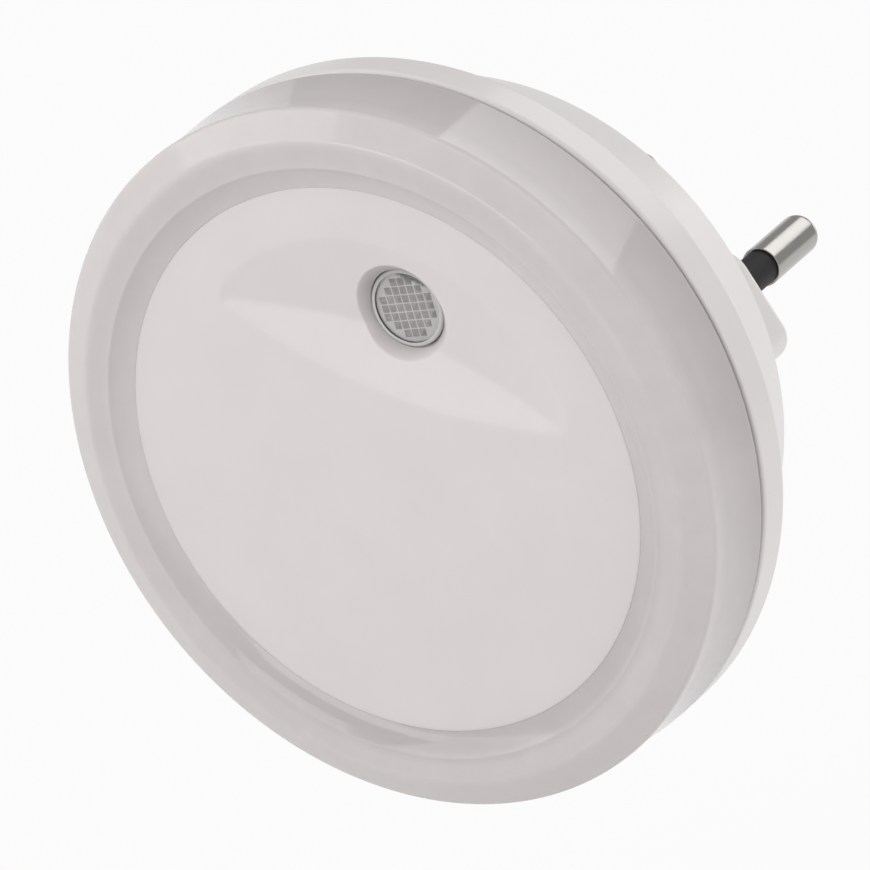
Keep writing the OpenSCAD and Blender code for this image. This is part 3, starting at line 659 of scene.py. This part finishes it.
DISH_WALL = 2.0
PLATE_Z = 21.5
CREASE = (RIM_R - 2.2, PLATE_Z + 8.2)
RIM_LOW_Z = CREASE[1] + 3.0
PLATE_R = CREASE[0] - 3.6
BOSS_SIDE = (15.25, 2.4)
BOSS_CORNER = (10.2, 3.85, 3.0)
BOSS_WALL = 1.8
BOSS_END = 2.0
LIP_WALL = 2.0
BOSS_ROUND = 1.5
BOSS_ROOT_ROUND = 0.5
BOSS_FLAT = 2.0
ARC_STEPS = 24
LIP_ROUND = 0.5
PLATE_ROUND = 1.1
PLATE_FLAT = 3.0
PIN_X = 9.3
PIN_LEAN = math.asin(0.55 / 19.0)
PIN_HOLE_R = 2.1
PIN_HOLE_BEVEL = 0.15
PIN_HOLE_SEGMENTS = 64


def boss_loop(inset, height, segments=AROUND):
    """The boss's six-sided outline, drawn in by an inset, as a row of evenly spaced points."""
    side_c = Vector((BOSS_SIDE[0], 0.0))
    side_r = BOSS_SIDE[1] - inset
    corner_c = Vector(BOSS_CORNER[:2])
    corner_r = BOSS_CORNER[2] - inset
    way = corner_c - side_c
    flank = math.atan2(way.y, way.x) - math.acos((side_r - corner_r) / way.length)
    quarter = []
    arcs = ((side_c, side_r, 0.0, flank), (corner_c, corner_r, flank, math.pi / 2))
    for centre, radius, start, end in arcs:
        for step in range(ARC_STEPS + 1):
            a = start + (end - start) * step / ARC_STEPS
            quarter.append(centre + radius * Vector((math.cos(a), math.sin(a))))
    quarter.append(Vector((0.0, corner_c.y + corner_r)))
    lengths = [0.0]
    for a, b in zip(quarter, quarter[1:]):
        lengths.append(lengths[-1] + (b - a).length)
    per_quarter = segments // 4
    even = []
    k = 0
    for i in range(per_quarter):
        target = lengths[-1] * i / per_quarter
        while lengths[k + 1] < target:
            k += 1
        t = (target - lengths[k]) / max(lengths[k + 1] - lengths[k], 1e-9)
        even.append(quarter[k].lerp(quarter[k + 1], t))
    even.append(quarter[-1])
    ring = [(p.x, p.y) for p in even[:-1]]
    ring += [(-p.x, p.y) for p in reversed(even[1:])]
    ring += [(-p.x, -p.y) for p in even[:-1]]
    ring += [(p.x, -p.y) for p in reversed(even[1:])]
    return [front(x, y, height) for x, y in ring]


def cap_with_holes(shape, rim, holes):
    """Fills the flat face between a rim loop and the hole loops inside it."""
    edges = []
    for loop in [rim] + holes:
        for a, b in zip(loop, loop[1:] + loop[:1]):
            edge = shape.edges.get((a, b))
            edges.append(edge if edge else shape.edges.new((a, b)))
    bmesh.ops.triangle_fill(shape, use_beauty=True, use_dissolve=False, edges=edges)


def add_strip(shape, rows, joined_to=None):
    """Adds rows of points to a bmesh with quads between them; gives the rows of its vertices."""
    made = [joined_to] if joined_to else []
    for row in rows:
        made.append([shape.verts.new(point) for point in row])
    for upper, lower in zip(made, made[1:]):
        for j in range(len(upper)):
            k = (j + 1) % len(upper)
            shape.faces.new((upper[j], upper[k], lower[k], lower[j]))
    return made


class NIGHTLIGHT_OT_housing(bpy.types.Operator):
    """Rear dish and plug boss: one white moulding with rounded edges and two pin holes"""
    bl_idname = "night_light.housing"
    bl_label = "Rear housing"

    def execute(self, context):
        edge = sizes().edge_round / MM
        outside = rounded([
            (RIM_R - LIP_WALL, SEAM_Z), (RIM_R, SEAM_Z, edge), (RIM_R, RIM_LOW_Z, LIP_ROUND),
            (*CREASE, LIP_ROUND), (PLATE_R, PLATE_Z, PLATE_ROUND), (PLATE_R - PLATE_FLAT, PLATE_Z),
        ], closed=False, steps=8)
        rows = [loop_of(r, h) for r, h in outside]
        boss = rounded([
            (-PLATE_FLAT, PLATE_Z), (0.0, PLATE_Z, BOSS_ROOT_ROUND),
            (0.0, 0.0, BOSS_ROUND), (BOSS_FLAT, 0.0),
        ], closed=False, steps=10)
        rows += [boss_loop(inset, height) for inset, height in boss[1:]]
        inside = [
            (RIM_R - LIP_WALL, SEAM_Z - 0.05), (RIM_R - LIP_WALL, LEDGE_Z), (CREASE[0] - DISH_WALL, LEDGE_Z),
            (CREASE[0] - DISH_WALL, CREASE[1]), (PLATE_R - DISH_WALL, PLATE_Z + DISH_WALL),
        ]
        inner_rows = [loop_of(r, h) for r, h in inside]
        inner_rows.append(boss_loop(BOSS_WALL, PLATE_Z + DISH_WALL))
        inner_rows.append(boss_loop(BOSS_WALL, BOSS_END))
        shape = bmesh.new()
        outer = add_strip(shape, rows)
        inner = add_strip(shape, inner_rows, outer[0])
        mouths = []
        floors = []
        for side in (-1, 1):
            mouth = (side * PIN_X, 0.0)
            end = (side * (PIN_X + BOSS_END * math.tan(PIN_LEAN)), 0.0)
            made = add_strip(shape, [
                loop_of(PIN_HOLE_R + PIN_HOLE_BEVEL, 0.0, PIN_HOLE_SEGMENTS, mouth),
                loop_of(PIN_HOLE_R, PIN_HOLE_BEVEL, PIN_HOLE_SEGMENTS, mouth),
                loop_of(PIN_HOLE_R, BOSS_END, PIN_HOLE_SEGMENTS, end),
            ])
            mouths.append(made[0])
            floors.append(made[-1])
        cap_with_holes(shape, outer[-1], mouths)
        cap_with_holes(shape, inner[-1], floors)
        material = moulded_plastic(
            "housing_plastic", tuple(colours().housing), 0.3, depth_mm=0.0008, coat=0.25, soft=0.05,
        )
        piece = finish_mesh("dish_and_boss", shape, material)
        stand_for(piece, "rear_housing")
        return {"FINISHED"}


# ---------------------------------------------------------------- sensor

WAFFLE_R = 3.25
LENS_TOP_Z = LENS_FRONT_Z - 0.45
LENS_GAP = 0.05
LENS_FLANGE = 0.8
LENS_SEGMENTS = 96
WAFFLE_DROP = 0.35
WAFFLE_DEEP = 0.5
WAFFLE_ROWS = 9
DISC_SEGMENTS = 96
SQUARE_TOP = 0.03
SQUARE_FOOT = 0.62
SQUARE_RISE = 0.45
SHADE_START = 2.75
SHADE_END = 3.0
FROST_GREYS = ((0.52, 0.50, 0.49), (0.60, 0.58, 0.57))
SQUARE_GREY = (0.60, 0.58, 0.57)
DISC_WHITE = (0.92, 0.90, 0.89)
DISC_SHADE = (0.10, 0.10, 0.10)


def waffle_tree():
    """Geometry nodes: four-sided pyramids on a square grid, standing on a white disc."""
    tree = bpy.data.node_groups.new("waffle", "GeometryNodeTree")
    tree.is_modifier = True
    for name, kind in (("Geometry", "NodeSocketGeometry"), ("Pitch", "NodeSocketFloat"),
                       ("Reach", "NodeSocketFloat"), ("Deep", "NodeSocketFloat"), ("Rows", "NodeSocketInt"),
                       ("Squares", "NodeSocketMaterial"), ("Disc", "NodeSocketMaterial")):
        tree.interface.new_socket(name, in_out="INPUT", socket_type=kind)
    tree.interface.new_socket("Geometry", in_out="OUTPUT", socket_type="NodeSocketGeometry")
    graph = Graph(tree)
    pitch, reach, deep, rows, squares_look, disc_look = (
        graph.add("NodeGroupInput", out=name)
        for name in ("Pitch", "Reach", "Deep", "Rows", "Squares", "Disc")
    )
    across = pitch * (rows - 1)
    grid = graph.add("GeometryNodeMeshGrid", None, {
        "Size X": across, "Size Y": across, "Vertices X": rows, "Vertices Y": rows,
    })
    distance = graph.add("ShaderNodeVectorMath", {"operation": "LENGTH"}, {
        0: graph.add("GeometryNodeInputPosition"),
    }, out="Value")
    inside = graph.add("FunctionNodeCompare", {"data_type": "FLOAT", "operation": "LESS_THAN"}, {
        0: distance, 1: reach - pitch * 0.5,
    })
    pyramid = graph.add("GeometryNodeMeshCone", {"fill_type": "NGON"}, {
        "Vertices": 4, "Radius Top": pitch * SQUARE_TOP, "Radius Bottom": pitch * SQUARE_FOOT,
        "Depth": pitch * SQUARE_RISE,
    })
    placed = graph.add("GeometryNodeInstanceOnPoints", None, {
        "Points": grid, "Selection": inside, "Instance": pyramid, "Rotation": (0.0, 0.0, math.pi / 4),
    })
    squares = graph.add("GeometryNodeRealizeInstances", None, {0: placed})
    disc = graph.add("GeometryNodeMeshCylinder", None, {
        "Vertices": DISC_SEGMENTS, "Radius": reach, "Depth": deep,
    })
    sunk = graph.add("GeometryNodeTransform", None, {
        "Geometry": disc, "Translation": graph.add("ShaderNodeCombineXYZ", None, {"Z": deep * -0.5}),
    })
    painted = [
        graph.add("GeometryNodeSetMaterial", None, {"Geometry": shape, "Material": look})
        for shape, look in ((squares, squares_look), (sunk, disc_look))
    ]
    whole = graph.add("GeometryNodeJoinGeometry", None, {0: painted})
    graph.add("NodeGroupOutput", None, {0: whole})
    return tree


def grown(name, tree, inputs, to_frame):
    """Runs a geometry-nodes tree on an empty mesh and gives the plain mesh object it makes."""
    seed = bpy.data.objects.new(name + "_seed", bpy.data.meshes.new(name + "_seed"))
    bpy.context.scene.collection.objects.link(seed)
    modifier = seed.modifiers.new("grow", "NODES")
    modifier.node_group = tree
    for item in tree.interface.items_tree:
        if item.in_out == "INPUT" and item.name in inputs:
            modifier[item.identifier] = inputs[item.name]
    ready = seed.evaluated_get(bpy.context.evaluated_depsgraph_get())
    mesh = bpy.data.meshes.new_from_object(ready)
    mesh.name = name
    mesh.transform(to_frame)
    seed.modifiers.remove(modifier)
    bpy.data.objects.remove(seed)
    piece = bpy.data.objects.new(name, mesh)
    bpy.context.scene.collection.objects.link(piece)
    return piece


def lens_profile(outline):
    """A lens section turned round the sensor's axis, closed at the axis by two round faces."""
    middle = (SENSOR_X, SENSOR_Y)
    rows = [loop_of(radius, height, LENS_SEGMENTS, middle) for radius, height in outline]
    verts, faces = skin(rows, wrap_rows=False)
    faces.append(tuple(range(LENS_SEGMENTS)))
    faces.append(tuple(range(len(verts) - LENS_SEGMENTS, len(verts))))
    return verts, faces


def frosted_rim(name, colour):
    """Lens plastic: clear over the waffle, frosted in a ring round it."""
    finish = Finish(name)
    haze = finish.noise(0.7, 2.0, 0.5)
    finish.surface(
        Base_Color=finish.mixed(haze, shade(colour, 0.96), colour),
        Roughness=finish.spread(haze, 0.3, 0.7, 0.04, 0.09),
        Normal=finish.bump(haze, 0.003),
        Transmission_Weight=1.0,
        IOR=1.45,
    )
    frost = finish.add("ShaderNodeBsdfPrincipled", None, {
        "Base Color": finish.mixed(haze, *FROST_GREYS),
        "Roughness": 0.3, "Coat Weight": 0.5,
    })
    out = finish.off_axis((SENSOR_X, SENSOR_Y))
    ring = finish.spread(out, (WAFFLE_R - 0.02) * MM, (WAFFLE_R + 0.05) * MM, 0.0, 1.0)
    finish.lay_over(ring, frost)
    return finish.material


def waffle_disc(name):
    """White disc under the squares, darker where the window's upper edge shades it."""
    finish = Finish(name)
    grain = finish.noise(0.3, 2.0, 0.5)
    high = finish.up() + grain * 0.0004
    dark = finish.spread(high, (SENSOR_Y + SHADE_START) * MM, (SENSOR_Y + SHADE_END) * MM, 0.0, 0.85)
    finish.surface(
        Base_Color=finish.mixed(dark, DISC_WHITE, DISC_SHADE),
        Roughness=finish.spread(grain, 0.3, 0.7, 0.25, 0.4),
        Normal=finish.bump(grain, 0.004),
    )
    return finish.material


class NIGHTLIGHT_OT_sensor(bpy.types.Operator):
    """Sensor window: clear lens with a frosted rim, and the waffle of small squares behind it"""
    bl_idname = "night_light.sensor"
    bl_label = "Sensor lens"

    def execute(self, context):
        lens_r = WINDOW_R - LENS_GAP
        waffle_z = LENS_TOP_Z - WAFFLE_DROP
        flange_z = LENS_BACK_Z + LENS_FLANGE
        body = rounded([
            (HAIR, LENS_BACK_Z), (LENS_FLANGE_R, LENS_BACK_Z, 0.1), (LENS_FLANGE_R, flange_z, 0.1),
            (lens_r, flange_z), (lens_r, LENS_TOP_Z, 0.25), (HAIR, LENS_TOP_Z),
        ], closed=False)
        piece = finish_mesh("lens_body", lens_profile(body), frosted_rim("clear_lens", (0.97, 0.97, 0.97)))
        stand_for(piece, "sensor_lens")
        turned = Matrix.Translation(front(SENSOR_X, SENSOR_Y, waffle_z))
        turned = turned @ Matrix.Rotation(math.pi / 2, 4, "X") @ Matrix.Rotation(sizes().waffle_turn, 4, "Z")
        tiles = grown("waffle", waffle_tree(), {
            "Pitch": sizes().waffle_pitch,
            "Reach": WAFFLE_R * MM,
            "Deep": WAFFLE_DEEP * MM,
            "Rows": WAFFLE_ROWS,
            "Squares": rubbery_plastic("waffle_grey", SQUARE_GREY, 0.2),
            "Disc": waffle_disc("waffle_white"),
        }, turned)
        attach(tiles, BODY)
        return {"FINISHED"}


# ---------------------------------------------------------------- pins

PIN_LEN = 18.99
BARE_START = 10.0
PIN_R = 2.0
TIP_ROUND = 1.8
CORE_R = 1.3
SLEEVE_R = 1.75
SLEEVE_GAP = 0.05
SLEEVE_SINK = 0.35
RECESS = 0.4
COLLAR_R = 2.7
COLLAR_START = -3.55
COLLAR_END = COLLAR_START + 1.4
ANCHOR_START = -7.15
ANCHOR_END = ANCHOR_START - 1.0
TAIL_R = 1.2
TAIL_END = -12.35
CUP_R = 0.65
CUP_DEEP = 2.5
PIN_SEGMENTS = 96


def pin_frame(side):
    """Matrix from a pin's own axis, z out to the tip, to the frame."""
    lean = Matrix.Rotation(side * PIN_LEAN, 4, "Z")
    return Matrix.Translation((side * PIN_X * MM, 0.0, 0.0)) @ lean @ Matrix.Rotation(-math.pi / 2, 4, "X")


def pin_outline():
    """A pin's section from the solder cup to the tip, kept a hair off the axis."""
    rim_r = SLEEVE_R + SLEEVE_GAP
    cup_z = TAIL_END + CUP_DEEP
    return rounded([
        (HAIR, PIN_LEN), (PIN_R, PIN_LEN, TIP_ROUND), (PIN_R, BARE_START, 0.08), (rim_r, BARE_START),
        (rim_r, BARE_START + RECESS), (CORE_R, BARE_START + RECESS), (CORE_R, ANCHOR_START),
        (PIN_R, ANCHOR_START, 0.1), (PIN_R, ANCHOR_END, 0.1), (TAIL_R, ANCHOR_END),
        (TAIL_R, TAIL_END, 0.1), (CUP_R, TAIL_END), (CUP_R, cup_z), (HAIR, cup_z),
    ], steps=10)


def sleeve_outline():
    """A sleeve's section: collar inside the boss, tube out to the contact end."""
    end = BARE_START + SLEEVE_SINK
    return rounded([
        (CORE_R + SLEEVE_GAP, COLLAR_START), (COLLAR_R, COLLAR_START, 0.1), (COLLAR_R, COLLAR_END, 0.1),
        (SLEEVE_R, COLLAR_END), (SLEEVE_R, end, 0.1), (CORE_R + SLEEVE_GAP, end),
    ])


class NIGHTLIGHT_OT_pins(bpy.types.Operator):
    """Plug pins and their black sleeves"""
    bl_idname = "night_light.pins"
    bl_label = "Pins and sleeves"

    def execute(self, context):
        metal = plated_metal("pin_plate", tuple(colours().plate))
        black = rubbery_plastic("sleeve_black", tuple(colours().sleeve), 0.62)
        for side, word in ((-1, "left"), (1, "right")):
            to_frame = pin_frame(side)
            pin = finish_mesh("pin_" + word, lathe(pin_outline(), PIN_SEGMENTS, to_frame), metal)
            stand_for(pin, "plug_pin_" + word)
            sleeve = finish_mesh("sleeve_" + word, lathe(sleeve_outline(), PIN_SEGMENTS, to_frame), black)
            stand_for(sleeve, "pin_sleeve_" + word)
        return {"FINISHED"}


# ---------------------------------------------------------------- inside

def dress(node, material):
    """Gives a CAD node its finish."""
    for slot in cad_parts[node].material_slots:
        slot.material = material


class NIGHTLIGHT_OT_inside(bpy.types.Operator):
    """Finishes of the sealed pieces: board, wired components, carrier, screws and leads"""
    bl_idname = "night_light.inside"
    bl_label = "Inner pieces"

    def execute(self, context):
        steel = plated_metal("screw_steel", (0.55, 0.55, 0.56))
        wire = plated_metal("tinned_wire", (0.60, 0.60, 0.60))
        epoxy = rubbery_plastic("black_epoxy", (0.02, 0.02, 0.022), 0.5)
        finishes = {
            "sensor_shroud": rubbery_plastic("shroud_grey", (0.05, 0.05, 0.05), 0.6),
            "photocell": moulded_plastic("cell_ceramic", (0.50, 0.30, 0.16), 0.45, 0.12, 0.01),
            "photocell_leads": wire,
            "reflector": moulded_plastic("reflector_white", (0.86, 0.86, 0.85), 0.5),
            "circuit_board": laminate("board_laminate", (0.03, 0.15, 0.05)),
            "board_screws": steel,
            "carrier_screws": steel,
            "leds": moulded_plastic("led_package", (0.80, 0.72, 0.30), 0.3, 0.1, 0.004),
            "chip_resistors": epoxy,
            "dropper_capacitor": moulded_plastic("film_box", (0.62, 0.40, 0.04), 0.35),
            "smoothing_capacitor": moulded_plastic("can_film", (0.02, 0.02, 0.06), 0.25),
            "bridge_rectifier": epoxy,
            "control_transistor": epoxy,
            "fusible_resistor": moulded_plastic("resistor_grey", (0.28, 0.34, 0.32), 0.5),
            "discharge_resistor": moulded_plastic("resistor_tan", (0.52, 0.36, 0.18), 0.5),
            "zener_diode": moulded_plastic("diode_glass", (0.42, 0.10, 0.03), 0.12),
            "pin_carrier": moulded_plastic("carrier_ivory", (0.66, 0.62, 0.52), 0.45),
            "lead_left": rubbery_plastic("wire_brown", (0.10, 0.03, 0.01)),
            "lead_right": rubbery_plastic("wire_blue", (0.02, 0.08, 0.35)),
        }
        for node, material in finishes.items():
            dress(node, material)
        return {"FINISHED"}


# ---------------------------------------------------------------- stage

CAMERA_AT = Vector((174.49, -370.27, 238.09)) * MM
CAMERA_AZIMUTH = math.radians(27.4647)
CAMERA_ELEVATION = math.radians(32.3381)
CAMERA_ROLL = math.radians(7.981)
FOCAL_PX = 5000.0
PHOTO_PX = 870.0
SENSOR_MM = 36.0
FLOOR_SPAN = 6.0
FLOOR_SEEN = 0.9
FLOOR_IN_GLOSS = 0.5
WORLD_LIGHT = 0.46
WORLD_IN_GLOSS = 0.42
WORLD_SEEN = 1.0
LAMP_TARGET = Vector((0.0, -0.03, 0.0))
LAMPS = (  # name, place, width and height in metres, power in watts, seen in reflections
    ("window", (-0.80, -0.59, 0.12), 0.62, 0.65, 2.0, True),
    ("key", (-0.36, -0.62, 0.74), 0.55, 0.5, 3.0, False),
    ("front", (-0.19, -0.90, 0.39), 0.45, 0.2, 0.5, True),
    ("low", (-0.40, -0.95, 0.00), 0.5, 0.15, 0.5, True),
    ("back", (-0.01, 0.69, 0.62), 0.74, 0.4, 1.3, True),
    ("behind", (0.12, 1.0, 0.05), 0.5, 0.4, 0.6, True),
    ("right", (0.85, -0.16, 0.28), 0.4, 1.0, 1.2, True),
    ("side", (0.85, 0.35, 0.10), 0.6, 0.6, 2.4, False),
)


def soft_box(name, place, width, height, power, in_gloss):
    """A rectangular studio lamp turned to the light's middle."""
    lamp = bpy.data.lights.new(name, "AREA")
    lamp.shape = "RECTANGLE"
    lamp.size = width
    lamp.size_y = height
    lamp.energy = power
    holder = bpy.data.objects.new(name, lamp)
    holder.location = place
    holder.rotation_euler = (LAMP_TARGET - Vector(place)).to_track_quat("-Z", "Y").to_euler()
    holder.visible_glossy = in_gloss
    bpy.context.scene.collection.objects.link(holder)


def floor_material():
    """Pale floor that keeps its shadow, seen nearly white by the camera and in reflections."""
    finish = Finish("pale_floor")
    finish.surface(Base_Color=(0.8, 0.8, 0.8), Roughness=0.9)
    seen = (finish.ray("Camera") + finish.ray("Transmission")) * FLOOR_SEEN
    glow = finish.add("ShaderNodeEmission", None, {"Color": (1.0, 1.0, 1.0), "Strength": 1.0})
    finish.lay_over(seen + finish.ray("Glossy") * FLOOR_IN_GLOSS, glow)
    return finish.material


def build_world():
    """Even pale studio light, dimmer in reflections, with a white backdrop for the camera."""
    world = bpy.data.worlds.new("studio")
    bpy.context.scene.world = world
    world.use_nodes = True
    world.node_tree.nodes.clear()
    sky = Graph(world.node_tree)
    light, in_gloss, seen = (
        sky.add("ShaderNodeBackground", None, {"Color": (1.0, 0.995, 0.99), "Strength": strength})
        for strength in (WORLD_LIGHT, WORLD_IN_GLOSS, WORLD_SEEN)
    )
    unseen = sky.add("ShaderNodeMixShader", None, {0: sky.ray("Glossy"), 1: light, 2: in_gloss})
    whole = sky.add("ShaderNodeMixShader", None, {0: sky.ray("Camera"), 1: unseen, 2: seen})
    sky.add("ShaderNodeOutputWorld", None, {"Surface": whole})


def build_camera():
    """Camera at the photograph's place, with its roll and long lens."""
    lens = bpy.data.cameras.new("photo_camera")
    lens.sensor_width = SENSOR_MM
    lens.sensor_fit = "HORIZONTAL"
    lens.lens = FOCAL_PX / PHOTO_PX * SENSOR_MM
    lens.clip_start = 0.01
    lens.clip_end = 20.0
    camera = bpy.data.objects.new("photo_camera", lens)
    flat = math.cos(CAMERA_ELEVATION)
    ahead = Vector((
        -math.sin(CAMERA_AZIMUTH) * flat, math.cos(CAMERA_AZIMUTH) * flat, -math.sin(CAMERA_ELEVATION),
    ))
    level_right = ahead.cross(Vector((0.0, 0.0, 1.0))).normalized()
    level_up = level_right.cross(ahead)
    right = level_right * math.cos(CAMERA_ROLL) + level_up * math.sin(CAMERA_ROLL)
    up = level_up * math.cos(CAMERA_ROLL) - level_right * math.sin(CAMERA_ROLL)
    turn = Matrix((right, up, -ahead)).transposed().to_4x4()
    camera.matrix_world = Matrix.Translation(CAMERA_AT) @ turn
    bpy.context.scene.collection.objects.link(camera)
    bpy.context.scene.camera = camera


class NIGHTLIGHT_OT_stage(bpy.types.Operator):
    """Studio: pale floor, soft lamps, world and the camera"""
    bl_idname = "night_light.stage"
    bl_label = "Studio"

    def execute(self, context):
        scene = context.scene
        scene.view_settings.view_transform = "Standard"
        floor_z = CAD_BOX[0][2] - sizes().floor_drop
        corners = ((-1, -1), (1, -1), (1, 1), (-1, 1))
        mesh = bpy.data.meshes.new("floor")
        mesh.from_pydata([(x * FLOOR_SPAN, y * FLOOR_SPAN, floor_z) for x, y in corners], [], [(0, 1, 2, 3)])
        mesh.materials.append(floor_material())
        floor = bpy.data.objects.new("floor", mesh)
        scene.collection.objects.link(floor)
        for lamp in LAMPS:
            soft_box(*lamp)
        build_world()
        build_camera()
        return {"FINISHED"}


# ---------------------------------------------------------------- add-on

class NIGHTLIGHT_PT_panel(bpy.types.Panel):
    """Buttons for each piece and the studio"""
    bl_idname = "NIGHTLIGHT_PT_panel"
    bl_label = "Night light"
    bl_space_type = "VIEW_3D"
    bl_region_type = "UI"
    bl_category = "Night light"

    def draw(self, context):
        for operator in OPERATORS:
            self.layout.operator(operator.bl_idname)
        for group in (context.scene.night_light_sizes, context.scene.night_light_colours):
            for name in group.__annotations__:
                self.layout.prop(group, name)


OPERATORS = (
    NIGHTLIGHT_OT_stage,
    NIGHTLIGHT_OT_housing,
    NIGHTLIGHT_OT_ring,
    NIGHTLIGHT_OT_cover,
    NIGHTLIGHT_OT_sensor,
    NIGHTLIGHT_OT_pins,
    NIGHTLIGHT_OT_inside,
)
CLASSES = (NightLightSizes, NightLightColours, *OPERATORS, NIGHTLIGHT_PT_panel)


def register():
    for item in CLASSES:
        bpy.utils.register_class(item)
    bpy.types.Scene.night_light_sizes = PointerProperty(type=NightLightSizes)
    bpy.types.Scene.night_light_colours = PointerProperty(type=NightLightColours)


def unregister():
    del bpy.types.Scene.night_light_colours
    del bpy.types.Scene.night_light_sizes
    for item in reversed(CLASSES):
        bpy.utils.unregister_class(item)


def main():
    register()
    bpy.ops.night_light.stage()
    bpy.ops.night_light.housing()
    bpy.ops.night_light.ring()
    bpy.ops.night_light.cover()
    bpy.ops.night_light.sensor()
    bpy.ops.night_light.pins()
    bpy.ops.night_light.inside()


if __name__ == "__main__":
    main()
